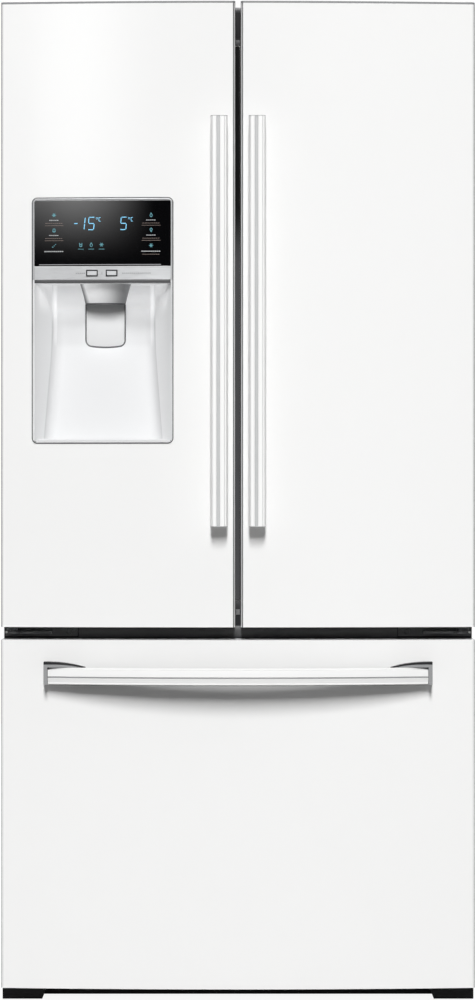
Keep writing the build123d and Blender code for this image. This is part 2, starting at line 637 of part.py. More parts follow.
def freezer_handle():
    """Arched bar with a creased front, held by a flared bracket at each end."""
    centre = HANDLE_FRONT + BAR_RADIUS
    half = BAR_HEIGHT / 2
    outline = [(0, 0), (4, half - 3), (7, half), (BAR_THICK, half)]
    outline += [(BAR_THICK, -half), (7, -half), (4, 3 - half)]
    face = make_face(Polyline(*[(0, HANDLE_FRONT + y, BAR_Z + z) for y, z in outline], close=True))
    angle = math.degrees(math.asin(BAR_HALF / BAR_RADIUS))
    bar = revolve(face, Axis((0, centre, 0), (0, 0, 1)), revolution_arc=2 * angle)
    bar = Pos(0, centre, 0) * Rot(0, 0, -angle) * Pos(0, -centre, 0) * bar
    save("freezer_handle", bar)

    end = BAR_HALF + END_PLATE
    low, high = BAR_Z - half, BAR_Z + half + BRACKET_RISE
    tip = end - BRACKET_LENGTH
    outline = [(end, high), (end, low), (tip, low), (tip, BAR_Z + half)]
    outline += [(end - 56, high - 5), (end - 38, high - 2.3)]
    deep = (HANDLE_FRONT + BAR_SAG - 4, DOOR_EDGE + 29)
    bracket = prism_y(outline, deep)
    behind = rod_z(0, centre, around(BAR_Z, 75), BAR_RADIUS - BAR_THICK)
    post = bracket & behind & block((end - BRACKET_POST, end), deep, (low - 6, high + 4))
    plate = bracket & block((BAR_HALF + GASKET_GAP, end), deep, (low, high))
    front = slab((end - 143, end + 57), around(BAR_Z, 45), 0)
    save("freezer_handle_brackets", *both(post + plate - front))


def freezer_drawer():
    """Drawer front, telescopic rails, basket and upper drawer."""
    skin, core = door_shell((-HALF, HALF), DRAWER, 0)
    plug_z = (FREEZER[0] + 17, FREEZER[1] - 17)
    core += block(around(0, INNER_X - 25), (DOOR_BACK - PAST, CABINET_FRONT + 10), plug_z)
    save("freezer_skin", skin)
    save("freezer_front_liner", core)
    save("freezer_gasket", gasket((-GASKET_X[1], GASKET_X[1]), FREEZER_GASKET_Z))
    freezer_handle()

    rail_y = (RAIL_FRONT, RAIL_BACK)
    fixed = (INNER_X - RAIL_WIDTH - PAST, INNER_X)
    middle = (fixed[0] - RAIL_GAP - RAIL_WIDTH, fixed[0] - RAIL_GAP)
    arm = (INNER_X - 17, middle[0] - RAIL_GAP)
    save("freezer_fixed_rails", *both(block(fixed, rail_y, RAIL)))
    save("freezer_middle_rails", *both(block(middle, rail_y, RAIL)))
    save("drawer_frame", *both(block(arm, (DOOR_BACK, RAIL_BACK), RAIL)))

    basket_y = (BASKET_FRONT, RAIL_BACK + 10)
    basket = tub(around(0, BASKET_X), basket_y, BASKET, TUB_WALL)
    rim = block(around(0, arm[1] - FIT), (BASKET_FRONT, RAIL_BACK), (RAIL[1], BASKET[1]))
    rim -= block(
        around(0, BASKET_X - TUB_WALL),
        (basket_y[0] + TUB_WALL, basket_y[1] - TUB_WALL),
        (RAIL[1] - PAST, BASKET[1] + PAST),
    )
    save("freezer_basket", basket + rim)

    upper = tub(around(0, BASKET_X), UPPER_Y, UPPER, TUB_WALL)
    lug_y = (UPPER_Y[0] + 5, UPPER_Y[1] - 10)
    lug = block((BASKET_X - PAST, INNER_X - 7), lug_y, (UPPER[0], UPPER[0] + 6))
    upper += lug
    upper += mirrored(lug)
    save("freezer_upper_drawer", upper)


def shelf(x, z):
    """Moulded frame and the glass pane that sits in its groove."""
    y = (SHELF_FRONT, SHELF_BACK)
    groove = 5.0
    pane_x = (x[0] + groove, x[1] - groove)
    pane_y = (y[0] + groove, y[1] - groove)
    pane_z = (z + groove, z + groove + PANE)
    frame = block(x, y, (z, z + SHELF_RIM))
    frame -= block(
        (x[0] + SHELF_RIM, x[1] - SHELF_RIM),
        (y[0] + SHELF_RIM, y[1] - SHELF_RIM),
        (z - PAST, z + SHELF_RIM + PAST),
    )
    frame -= block(pane_x, pane_y, pane_z)
    pane = block((pane_x[0] + FIT, pane_x[1] - FIT), (pane_y[0] + FIT, pane_y[1] - FIT), pane_z)
    return frame, pane


def fridge_interior():
    """Shelves, crispers, air duct and ice maker."""
    near, far = SHELF_X
    top = FRIDGE[1]
    places = [((-far, -near), top - LEFT_SHELF_DROP)]
    places += [((near, far), top - drop) for drop in RIGHT_SHELF_DROPS]
    places.append(((-far, far), CRISPER_COVER))
    shelves = [shelf(x, z) for x, z in places]
    save("shelf_frames", *[frame for frame, _ in shelves])
    save("shelf_glass", *[pane for _, pane in shelves])

    duct = block(around(0, INNER_X - 7), (SHELF_BACK + 2, INNER_BACK), (FRIDGE[0] + 30, top - 10))
    for row in range(int((top - FRIDGE[0] - 130) // VENT_PITCH) + 1):
        z = FRIDGE[0] + 90 + VENT_PITCH * row
        duct -= block(around(0, 60), (SHELF_BACK, INNER_BACK - 2), (z, z + VENT_HEIGHT))
    for x in (*TRACK_X, -TRACK_X[0], -TRACK_X[1]):
        duct += block(around(x, 7), (SHELF_BACK, INNER_BACK - PAST), (CRISPER_COVER + 29, top - 20))
    save("air_duct", duct)

    drawer = tub(CRISPER_X, CRISPER_Y, CRISPER, TUB_WALL)
    grip_y = (CRISPER_Y[0] - PAST, CRISPER_Y[0] + 5)
    grip_z = (CRISPER[1] - GRIP_DROP, CRISPER[1] + PAST)
    drawer -= block(around(sum(CRISPER_X) / 2, GRIP_HALF), grip_y, grip_z)
    save("crisper_right", drawer)
    save("crisper_left", mirrored(drawer))

    front = SHELF_FRONT + 10
    case = block(ICE_X, (front, SHELF_BACK - 4), ICE_Z)
    floor = ICE_Z[0] + ICE_WALL
    case -= block(
        (ICE_X[0] + ICE_WALL, ICE_X[1] - ICE_WALL),
        (front - PAST, SHELF_BACK - 4 - ICE_WALL),
        (floor, top - 40),
    )
    save("ice_maker", case)
    play = ICE_WALL + 3
    bucket_x = (ICE_X[0] + play, ICE_X[1] - play)
    save("ice_bucket", tub(bucket_x, (front + 2, SHELF_BACK - 88), (floor, top - 100), 4))


def fan(radius, hub, blades, length):
    """Axial rotor along Z, with its bore on the axis."""
    rotor = Cylinder(hub, length)
    blade = Pos((radius + hub) / 2 - 2, 0, 0) * Rot(32, 0, 0) * Box(radius - hub + 4, 0.9 * hub, 2)
    for turn in range(blades):
        rotor += Rot(0, 0, 360 * turn / blades) * blade
    return rotor - Cylinder(SHAFT_RADIUS + RUN, 4 * length)


def machine_bay():
    """Compressor, condenser, condenser fan and the cover behind them."""
    pot = rod_z(POT_X, FAN_Y, (BASE + 19, BASE + 170), POT_RADIUS)
    pot = fillet(pot.edges().sort_by(Axis.Z)[-1:], 45)
    pot = fillet(pot.edges().sort_by(Axis.Z)[:1], 12)
    pot += block(around(POT_X, 100), around(FAN_Y, 60), (BASE + 15, BASE + 20))
    for x in around(POT_X, 85):
        for y in around(FAN_Y, 45):
            pot += rod_z(x, y, (PAN_TOP, BASE + 16), 11)
    save("compressor", pot)

    passes = 7
    pitch = 26.0
    left, right = COIL_X
    base_z = BASE + 30
    path = []
    for row in range(passes):
        z = base_z + pitch * row
        ends = ((left, FAN_Y, z), (right, FAN_Y, z))
        start, stop = ends if row % 2 == 0 else ends[::-1]
        path.append(Line(start, stop))
        if row < passes - 1:
            out = pitch / 2 if row % 2 == 0 else -pitch / 2
            after = (stop[0], FAN_Y, z + pitch)
            path.append(ThreePointArc(stop, (stop[0] + out, FAN_Y, z + pitch / 2), after))
    wire = Wire([edge for part in path for edge in part.edges()])
    section = Plane((left, FAN_Y, base_z), z_dir=(1, 0, 0)) * Circle(4)
    coil = sweep(section, path=wire)
    for x in (left + 40, right - 40):
        coil += block(around(x, 2), around(FAN_Y, 30), (PAN_TOP, BASE + 200))
    save("condenser_coil", coil)

    motor = rod_x(FAN_Y, FAN_Z, (FAN_X + 14, FAN_X + 56), 26)
    motor += rod_x(FAN_Y, FAN_Z, (FAN_X - 12, FAN_X + 15), SHAFT_RADIUS)
    motor += block((FAN_X + 26, FAN_X + 44), around(FAN_Y, 12), (PAN_TOP, FAN_Z))
    save("condenser_fan_motor", motor)
    save("condenser_fan", Pos(FAN_X, FAN_Y, FAN_Z) * Rot(0, 90, 0) * fan(78, 20, 5, 18))

    cover = block(around(0, HALF - SHEET), (BACK - SHEET, BACK), (PAN_TOP, BAY_TOP - 0.5))
    for row in range(8):
        z = BASE + 45 + 24 * row
        vent = block((40, INNER_X - 61), around(BACK, 5), (z, z + 8))
        cover -= vent
        cover -= mirrored(vent)
    save("rear_cover", cover)


def freezer_cooling():
    """Evaporator behind its cover, with the fan that blows through it."""
    fin_top = COLD_FAN_Z - 58
    tube_z = (STEP_Z + 14, fin_top - 10)
    coil = block(around(0, COLD_COIL_X), (INNER_BACK - 49, INNER_BACK - 42), tube_z)
    coil += block(around(0, COLD_COIL_X), (INNER_BACK - 22, INNER_BACK - 15), tube_z)
    pitch = 2 * COLD_COIL_X / (FIN_COUNT - 1)
    for column in range(FIN_COUNT):
        x = pitch * column - COLD_COIL_X
        coil += block(around(x, 0.8), (INNER_BACK - 56, INNER_BACK), (STEP_Z + 2, fin_top))
    save("evaporator", coil)

    hole = 52.0
    panel_y = (COVER_FRONT, COVER_FRONT + 4)
    panel = block(around(0, INNER_X), panel_y, (STEP_Z, FREEZER[1]))
    panel -= rod_y(0, COLD_FAN_Z, (panel_y[0] - PAST, panel_y[1] + PAST), hole)
    for spoke in range(3):
        bar = block(around(0, hole + PAST), panel_y, around(0, 3))
        panel += Pos(0, 0, COLD_FAN_Z) * Rot(0, 60 * spoke, 0) * bar
    save("evaporator_cover", panel)

    motor_front = INNER_BACK - 30
    motor = rod_y(0, COLD_FAN_Z, (motor_front, INNER_BACK), 24)
    motor += rod_y(0, COLD_FAN_Z, (motor_front - 28, motor_front + PAST), SHAFT_RADIUS)
    save("evaporator_fan_motor", motor)
    save("evaporator_fan", Pos(0, motor_front - 15, COLD_FAN_Z) * Rot(90, 0, 0) * fan(48, 16, 5, 16))


os.makedirs("parts", exist_ok=True)
cabinet()
base()
hinges()
doors()
dispenser()
freezer_drawer()
fridge_interior()
machine_bay()
freezer_cooling()
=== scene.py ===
"""French door refrigerator: finishes, trim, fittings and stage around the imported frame."""
import math

import bmesh
import bpy
from bpy.props import FloatProperty, FloatVectorProperty, PointerProperty
from mathutils import Matrix, Vector


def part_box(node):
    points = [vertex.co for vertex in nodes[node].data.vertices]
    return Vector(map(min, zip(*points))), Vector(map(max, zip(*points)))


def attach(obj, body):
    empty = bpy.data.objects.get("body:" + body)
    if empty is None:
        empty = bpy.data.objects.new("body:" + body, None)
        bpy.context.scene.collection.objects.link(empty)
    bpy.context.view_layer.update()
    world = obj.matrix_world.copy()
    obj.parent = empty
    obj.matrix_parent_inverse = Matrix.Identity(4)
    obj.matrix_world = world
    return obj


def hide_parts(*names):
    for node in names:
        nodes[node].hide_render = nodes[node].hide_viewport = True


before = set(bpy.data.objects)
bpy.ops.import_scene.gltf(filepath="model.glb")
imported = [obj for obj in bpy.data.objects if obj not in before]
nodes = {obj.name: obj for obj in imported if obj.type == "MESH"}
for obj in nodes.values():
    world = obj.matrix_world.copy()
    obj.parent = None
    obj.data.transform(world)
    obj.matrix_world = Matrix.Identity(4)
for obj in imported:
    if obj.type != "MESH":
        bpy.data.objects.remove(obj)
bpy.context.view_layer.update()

bl_info = {
    "name": "French Door Refrigerator",
    "version": (1, 0, 0),
    "blender": (4, 5, 0),
    "location": "View3D > Sidebar > Refrigerator",
    "description": "Finishes, dispenser trim, seals, fittings and stage for a refrigerator",
    "category": "Object",
}

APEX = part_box("right_door_skin")[0].y
DOOR_LOW, DOOR_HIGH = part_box("right_door_skin")
DRAWER_LOW, DRAWER_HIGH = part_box("freezer_skin")
GLASS_LOW, GLASS_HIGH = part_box("control_glass")
STRIP_LOW, STRIP_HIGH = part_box("dispenser_strip")
HOUSING_LOW, HOUSING_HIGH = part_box("dispenser_housing")
LEVER_LOW, LEVER_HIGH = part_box("dispenser_lever")
LINER_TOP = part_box("fridge_liner")[1].z
SHELF_LOW, SHELF_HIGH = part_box("shelf_frames")
LEVER_MIDDLE = (LEVER_LOW.x + LEVER_HIGH.x) / 2
LEVER_AXIS = (LEVER_LOW.y + 0.010, LEVER_HIGH.z - 0.005)
FRAME_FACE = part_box("front_frame")[0].y
FRAME_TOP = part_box("front_frame")[1].z
RECESS_FLOOR, RECESS_TOP = HOUSING_LOW.z + 0.0028, STRIP_LOW.z - 0.0065
# Height at which the recess turns from its ramp to its back wall
RECESS_BREAK = RECESS_TOP - 0.113
# Depths between which the painted glow of the recess sets in
RECESS_PAINTED_GLOW = (HOUSING_LOW.y + 0.0096, HOUSING_LOW.y + 0.0386)


def colour(name, text, default):
    return FloatVectorProperty(
        name=name, description=text, default=default, size=3, min=0, max=1, subtype="COLOR"
    )


def amount(name, text, default, **kind):
    return FloatProperty(name=name, description=text, default=default, min=0, **kind)


def length(name, text, default):
    return amount(name, text, default, unit="LENGTH", subtype="DISTANCE")


class FridgeFinishes(bpy.types.PropertyGroup):
    """Colours that a user would change."""

    enamel: colour("Enamel", "Door and drawer fronts", (0.88, 0.88, 0.875))
    cabinet: colour("Cabinet", "Side and top panels", (0.84, 0.84, 0.835))
    liner: colour("Liner", "Inside of the cabinet and doors", (0.86, 0.87, 0.875))
    recess: colour("Recess", "Dispenser recess and lip", (0.69, 0.694, 0.70))
    # Lighter than the recess: this colour paints light onto the side walls of the same moulding
    cheek: colour("Recess cheeks", "Side walls of the dispenser recess", (0.90, 0.905, 0.91))
    handle: colour("Handles", "Upright door handles", (0.90, 0.90, 0.895))
    # Darker copy of the handle white: painted shade that keeps the bar's lit upper facet from clipping
    bar: colour("Freezer handle", "Arched bar of the drawer", (0.82, 0.82, 0.815))
    # Grey of the strip in the handle groove: painted shade in the groove
    inlay: colour("Inlay", "Satin band down the handles", (0.53, 0.535, 0.54))
    silver: colour("Silver", "Dispenser strip, bezel and shelf trim", (0.48, 0.487, 0.494))
    # Grey of the strips that paint shade onto the rounded door edges
    edge: colour("Door edges", "Trim along the door edges", (0.17, 0.172, 0.176))
    bracket: colour("Brackets", "End plates of the freezer handle", (0.29, 0.293, 0.298))
    dark: colour("Dark frame", "Face frame and hinges", (0.035, 0.036, 0.04))
    cap: colour("End caps", "Door end caps", (0.24, 0.244, 0.25))
    black: colour("Black plastic", "Toe grille and pads", (0.012, 0.012, 0.013))
    rubber: colour("Seals", "Door and drawer seals", (0.085, 0.086, 0.088))
    digit: colour("Digits", "Lit digits of the display", (0.20, 0.56, 0.82))
    icon: colour("Icons", "Lit icons of the display", (0.08, 0.24, 0.28))
    label: colour("Labels", "Printed marks of the display", (0.34, 0.35, 0.36))
    lamp: colour("Lamps", "Lamps inside the cabinet", (1.0, 0.97, 0.92))


class FridgeSizes(bpy.types.PropertyGroup):
    """Sizes of the trim that the scene adds."""

    bow_radius: length("Bow radius", "Radius of the bowed fronts in plan", 3.47362)
    edge_radius: length("Edge radius", "Rounding of the upright door edges", 0.006)
    bezel_rim: length("Bezel rim", "Width of the dispenser bezel", 0.0028)
    corner: length("Dispenser corner", "Corner radius of the dispenser", 0.008)
    digit_height: length("Digit height", "Height of the display digits", 0.0218)
    digit_width: length("Digit width", "Width of the display digits", 0.0100)
    stroke: length("Digit stroke", "Width of one display segment", 0.0014)
    gasket_width: length("Seal width", "Width of the seals", 0.018)
    bin_height: length("Bin height", "Height of one door bin", 0.105)


class FridgeStage(bpy.types.PropertyGroup):
    """Camera and light."""

    camera_distance: length("Camera distance", "From the camera to the origin plane", 7.869)
    camera_height: length("Camera height", "Height of the lens over the floor", 0.883)
    camera_shift: length("Camera shift", "How far the lens is left of the middle", 0.0009)
    lens: amount("Lens", "Focal length in millimetres", 153.7)
    key_power: amount("Key", "Power of the soft box", 17300, unit="POWER")
    key_rise: amount("Key rise", "Soft box, above level", 0.60, subtype="ANGLE")
    key_distance: length("Key distance", "From the soft box to the middle of the fronts", 40.0)
    key_width: length("Key width", "Width of the soft box", 5.0)
    key_height: length("Key height", "Height of the soft box", 17.0)
    key_aim: length("Key aim", "Height on the fronts that the soft box points at", 0.9)
    fill_strength: amount("Fill", "Strength of the light all round", 0.07)
    floor_grey: amount("Floor grey", "Grey of the floor that takes the shadow", 0.25)
    floor_glow: amount("Floor glow", "Brightness that the floor shows the camera", 2.1)
    floor_share: amount("Floor share", "How much of the floor's own shade the glow covers", 0.43)


def finishes():
    return bpy.context.scene.fridge_finishes


def sizes():
    return bpy.context.scene.fridge_sizes


def front(x, proud=0.0):
    """Y of the bowed door front at x, or of a surface that stands proud of it."""
    radius = sizes().bow_radius
    return APEX + radius - math.sqrt((radius + proud) ** 2 - x * x)


# Shader groups


def group(name, inputs, outputs):
    """New shader group with its sockets, and its input and output nodes."""
    tree = bpy.data.node_groups.new(name, "ShaderNodeTree")
    for label, kind, default in inputs:
        socket = tree.interface.new_socket(label, in_out="INPUT", socket_type=kind)
        socket.default_value = default
    for label, kind in outputs:
        tree.interface.new_socket(label, in_out="OUTPUT", socket_type=kind)
    return tree, tree.nodes.new("NodeGroupInput"), tree.nodes.new("NodeGroupOutput")


def feed(tree, socket, value):
    """Link a socket to another one, or set it to a number."""
    if isinstance(value, (int, float)):
        socket.default_value = value
    else:
        tree.links.new(value, socket)


def sums(tree, operation, a, b):
    """Result of a maths node on two sockets or numbers."""
    node = tree.nodes.new("ShaderNodeMath")
    node.operation = operation
    feed(tree, node.inputs[0], a)
    feed(tree, node.inputs[1], b)
    return node.outputs[0]


def eased(tree, source, given, result, shape="SMOOTHSTEP"):
    """A value taken from one pair of limits to another."""
    node = tree.nodes.new("ShaderNodeMapRange")
    node.interpolation_type = shape
    tree.links.new(source, node.inputs["Value"])
    for label, value in zip(("From Min", "From Max", "To Min", "To Max"), (*given, *result)):
        feed(tree, node.inputs[label], value)
    return node.outputs["Result"]


def blended(tree, factor, first, second):
    """Mix of two numbers by a factor socket."""
    node = tree.nodes.new("ShaderNodeMix")
    tree.links.new(factor, node.inputs["Factor"])
    feed(tree, node.inputs["A"], first)
    feed(tree, node.inputs["B"], second)
    return node.outputs["Result"]


def noise(tree, vector, scale, detail=2.0):
    """Value of a noise texture."""
    node = tree.nodes.new("ShaderNodeTexNoise")
    node.inputs["Detail"].default_value = detail
    tree.links.new(vector, node.inputs["Vector"])
    feed(tree, node.inputs["Scale"], scale)
    return node.outputs["Fac"]


def shaded(tree, base, factor):
    """A colour scaled by a factor."""
    node = tree.nodes.new("ShaderNodeVectorMath")
    node.operation = "SCALE"
    tree.links.new(base, node.inputs[0])
    tree.links.new(factor, node.inputs["Scale"])
    return node.outputs[0]


COLOUR, NUMBER = "NodeSocketColor", "NodeSocketFloat"
SURFACE_INPUTS = [
    ("Colour", COLOUR, (0.8, 0.8, 0.8, 1)),
    ("Variation", NUMBER, 0.01),
    ("Scale", NUMBER, 400.0),
    ("Roughness", NUMBER, 0.4),
    ("Spread", NUMBER, 0.04),
]
SURFACE_OUTPUTS = [("Colour", COLOUR), ("Roughness", NUMBER), ("Height", NUMBER)]
STRETCHES = {"moulded_grain": (1, 1, 1), "brushed_x": (0.012, 1, 1), "brushed_z": (1, 1, 0.012)}
FINE = {"scale": 700.0, "bump": 0.012, "variation": 0.004}
MOULDED = {"scale": 700.0, "bump": 0.06, "variation": 0.06}
SATIN = {"scale": 900.0, "bump": 0.08, "variation": 0.08}
# Painted light of the recess: strength of its glow, and the heights below the ceiling where it grows and
# falls
RECESS_PAINTED_LIGHT = {"strength": 0.68, "start": 0.075, "peak": 0.028, "share": 0.6}
GROUPS = {}
MATERIALS = {}


def surface_group(name):
    """Fine surface texture; brushing runs along the axis that STRETCHES draws out."""
    tree, given, result = group(name, SURFACE_INPUTS, SURFACE_OUTPUTS)
    coords = tree.nodes.new("ShaderNodeTexCoord").outputs["Object"]
    mapping = tree.nodes.new("ShaderNodeMapping")
    mapping.inputs["Scale"].default_value = STRETCHES[name]
    tree.links.new(coords, mapping.inputs["Vector"])
    fine = noise(tree, mapping.outputs["Vector"], given.outputs["Scale"])
    broad = noise(tree, coords, 5.0, 3.0)
    mixed = sums(tree, "MULTIPLY", sums(tree, "ADD", fine, broad), 0.5)
    for label, middle, swing in (("Colour", 1.0, "Variation"), ("Roughness", None, "Spread")):
        middle = middle or given.outputs["Roughness"]
        low = sums(tree, "SUBTRACT", middle, given.outputs[swing])
        high = sums(tree, "ADD", middle, given.outputs[swing])
        value = eased(tree, mixed, (0.3, 0.7), (low, high), "LINEAR")
        if label == "Colour":
            value = shaded(tree, given.outputs["Colour"], value)
        tree.links.new(value, result.inputs[label])
    tree.links.new(fine, result.inputs["Height"])
    return tree


def split_group(name):
    """Change from one colour to another along an axis."""
    inputs = [("Lower", COLOUR, (0, 0, 0, 1)), ("Upper", COLOUR, (1, 1, 1, 1))]
    inputs += [("From", NUMBER, 0.0), ("To", NUMBER, 1.0), ("Axis", "NodeSocketVector", (0, 0, 1))]
    tree, given, result = group(name, inputs, [("Colour", COLOUR)])
    along = tree.nodes.new("ShaderNodeVectorMath")
    along.operation = "DOT_PRODUCT"
    tree.links.new(tree.nodes.new("ShaderNodeTexCoord").outputs["Object"], along.inputs[0])
    tree.links.new(given.outputs["Axis"], along.inputs[1])
    limits = (given.outputs["From"], given.outputs["To"])
    mix = tree.nodes.new("ShaderNodeMix")
    mix.data_type = "RGBA"
    tree.links.new(eased(tree, along.outputs["Value"], limits, (0.0, 1.0)), mix.inputs["Factor"])
    colours = [socket for socket in mix.inputs if socket.type == "RGBA"]
    tree.links.new(given.outputs["Lower"], colours[0])
    tree.links.new(given.outputs["Upper"], colours[1])
    shown = [socket for socket in mix.outputs if socket.type == "RGBA"]
    tree.links.new(shown[0], result.inputs["Colour"])
    return tree


def effect(name):
    """The shared shader group of that name, built once."""
    if name not in GROUPS:
        GROUPS[name] = split_group(name) if name == "two_tone" else surface_group(name)
    return GROUPS[name]


def placed(tree, name):
    """Node that holds a shared shader group."""
    node = tree.nodes.new("ShaderNodeGroup")
    node.node_tree = effect(name)
    return node


def surface(name, base, roughness, texture="moulded_grain", scale=400.0, bump=0.05, variation=0.01,
            spread=0.04, upper=None, levels=(0.0, 1.0), axis=(0, 0, 1), **sockets):
    """Principled material with a shared surface texture; upper is a second colour past the levels."""
    if name in MATERIALS:
        return MATERIALS[name]
    material = bpy.data.materials.new(name)
    material.use_nodes = True
    tree = material.node_tree
    bsdf = tree.nodes["Principled BSDF"]
    node = placed(tree, texture)
    settings = {"Variation": variation, "Scale": scale, "Roughness": roughness, "Spread": spread}
    for label, value in settings.items():
        node.inputs[label].default_value = value
    node.inputs["Colour"].default_value = (*base, 1)
    if upper:
        split = placed(tree, "two_tone")
        split.inputs["Axis"].default_value = axis
        split.inputs["Lower"].default_value = (*base, 1)
        split.inputs["Upper"].default_value = (*upper, 1)
        split.inputs["From"].default_value, split.inputs["To"].default_value = levels
        tree.links.new(split.outputs["Colour"], node.inputs["Colour"])
    tree.links.new(node.outputs["Colour"], bsdf.inputs["Base Color"])
    tree.links.new(node.outputs["Roughness"], bsdf.inputs["Roughness"])
    if bump:
        height = tree.nodes.new("ShaderNodeBump")
        height.inputs["Strength"].default_value = bump
        height.inputs["Distance"].default_value = 0.0004
        tree.links.new(node.outputs["Height"], height.inputs["Height"])
        tree.links.new(height.outputs["Normal"], bsdf.inputs["Normal"])
    for label, value in sockets.items():
        bsdf.inputs[label.replace("_", " ")].default_value = value
    MATERIALS[name] = material
    return material


def glowing(name, base, strength):
    """Lit surface with the grain of a diffuser."""
    return surface(
        name, base, 0.4, bump=0.02, variation=0.03,
        Emission_Color=(*base, 1), Emission_Strength=strength,
    )


def clear(name, tint, roughness):
    """Clear plastic or glass."""
    return surface(
        name, tint, roughness, scale=300.0, bump=0.01, spread=0.01, Transmission_Weight=0.92, IOR=1.45
    )


def enamel():
    return surface(
        "white_enamel", finishes().enamel, 0.22, spread=0.02, Coat_Weight=0.4, Coat_Roughness=0.06, **FINE
    )


def handle_white():
    return surface("handle_white", finishes().handle, 0.42, Specular_IOR_Level=0.2, **FINE)


def liner_white():
    return surface("white_liner", finishes().liner, 0.3, scale=500.0, bump=0.03, variation=0.006)


def painted_light_from_above(material, strength, start, peak, share):
    """Painted light: emission in the base colour makes the recess glow, though no lamp is there; it grows
    from start to peak below the ceiling, where a share is left.
    """
    tree = material.node_tree
    bsdf = tree.nodes["Principled BSDF"]
    if bsdf.inputs["Emission Color"].is_linked:
        return material
    base = bsdf.inputs["Base Color"].links[0].from_socket
    axes = tree.nodes.new("ShaderNodeSeparateXYZ")
    tree.links.new(tree.nodes.new("ShaderNodeTexCoord").outputs["Object"], axes.inputs[0])
    inside = eased(tree, axes.outputs["Y"], RECESS_PAINTED_GLOW, (0.0, 1.0))
    rise = eased(tree, axes.outputs["Z"], (RECESS_TOP - start, RECESS_TOP - peak), (0.0, 1.0))
    fall = eased(tree, axes.outputs["Z"], (RECESS_TOP - peak, RECESS_TOP), (1.0, share))
    glow = shaded(tree, base, sums(tree, "MULTIPLY", inside, sums(tree, "MULTIPLY", rise, fall)))
    tree.links.new(glow, bsdf.inputs["Emission Color"])
    bsdf.inputs["Emission Strength"].default_value = strength
    return material


def recess_white():
    base = finishes().recess
    # Painted shade and light: the upright back wall above the ramp is a darker copy of the recess colour,
    # and a painted glow lights it below the ceiling
    white = surface(
        "recess_white", base, 0.5, upper=[0.935 * part for part in base],
        levels=(RECESS_BREAK, RECESS_BREAK + 0.014), Specular_IOR_Level=0.1, **FINE,
    )
    return painted_light_from_above(white, **RECESS_PAINTED_LIGHT)


def silver():
    return surface(
        "brushed_silver", finishes().silver, 0.38, texture="brushed_x", scale=900.0, bump=0.08,
        variation=0.06, spread=0.08, Metallic=1.0,
    )


def dark_frame():
    return surface("dark_frame", finishes().dark, 0.4, **SATIN)


def bracket_grey():
    return surface("bracket_grey", finishes().bracket, 0.35, scale=800.0, bump=0.04, variation=0.02)


def seal_rubber():
    return surface("seal_rubber", finishes().rubber, 0.6, scale=600.0, bump=0.1, variation=0.04)


def black_plastic():
    return surface(
        "black_plastic", finishes().black, 0.45, scale=900.0, bump=0.12, variation=0.15, spread=0.08,
        Specular_IOR_Level=0.25,
    )


def flipper_face():
    """Dark face of the flipper bar, with painted shade that deepens towards the top."""
    return surface(
        "flipper_face", (0.125, 0.127, 0.131), 0.45, scale=900.0, bump=0.06, variation=0.06,
        upper=(0.004, 0.004, 0.004), levels=(1.29, 1.41), Specular_IOR_Level=0.1,
    )


# Mesh helpers

# Thickness of a printed stroke, and the angle from which an edge stays sharp
FILM = 0.0004
CREASE = math.radians(35)


def corners(geometry):
    """The vertices among what an operator returned."""
    return [item for item in geometry if isinstance(item, bmesh.types.BMVert)]


def whole(bm):
    """All of a mesh, as the cutting operators take it."""
    return [*bm.verts, *bm.edges, *bm.faces]


def bar(bm, low, high, radius=0.0, segments=2):
    """Box between two corners, with rounded edges."""
    low, high = Vector(low), Vector(high)
    place = Matrix.Translation((low + high) / 2) @ Matrix.Diagonal((*(high - low), 1))
    made = bmesh.ops.create_cube(bm, size=1, matrix=place)["verts"]
    if radius:
        edges = list({edge for vert in made for edge in vert.link_edges})
        bmesh.ops.bevel(
            bm, geom=edges, offset=radius, segments=segments, profile=0.5, affect="EDGES", material=-1
        )


def disc(bm, centre, radius, depth, axis="Y", segments=24):
    """Closed cylinder about an axis."""
    turn = Matrix.Rotation(math.pi / 2, 4, {"X": "Y", "Y": "X", "Z": "Z"}[axis])
    bmesh.ops.create_cone(
        bm, cap_ends=True, segments=segments, radius1=radius, radius2=radius, depth=depth,
        matrix=Matrix.Translation(centre) @ turn,
    )


def plate(bm, x, z, corner, steps=6):
    """Rounded rectangle in the XZ plane, facing -Y."""
    before = set(bm.faces)
    outline = ((x[0], z[0]), (x[1], z[0]), (x[1], z[1]), (x[0], z[1]))
    verts = [bm.verts.new((across, 0, up)) for across, up in outline]
    bm.faces.new(verts)
    bmesh.ops.bevel(
        bm, geom=verts, offset=corner, segments=steps, profile=0.5, affect="VERTICES", material=-1
    )
    return [face for face in bm.faces if face not in before]


def thicken(bm, faces, depth):
    """Give flat faces a depth towards -Y."""
    grown = bmesh.ops.extrude_face_region(bm, geom=faces, use_keep_orig=True)["geom"]
    bmesh.ops.translate(bm, verts=corners(grown), vec=(0, -depth, 0))
    bmesh.ops.recalc_face_normals(bm, faces=bm.faces)


def ring(bm, x, z, corner, rim, depth):
    """Rounded frame, rim wide and depth deep, from the plane y = 0 towards -Y."""
    faces = plate(bm, x, z, corner)
    edge = bmesh.ops.inset_region(
        bm, faces=faces, thickness=rim, use_boundary=True, use_even_offset=True
    )["faces"]
    bmesh.ops.delete(bm, geom=faces, context="FACES_ONLY")
    thicken(bm, edge, depth)


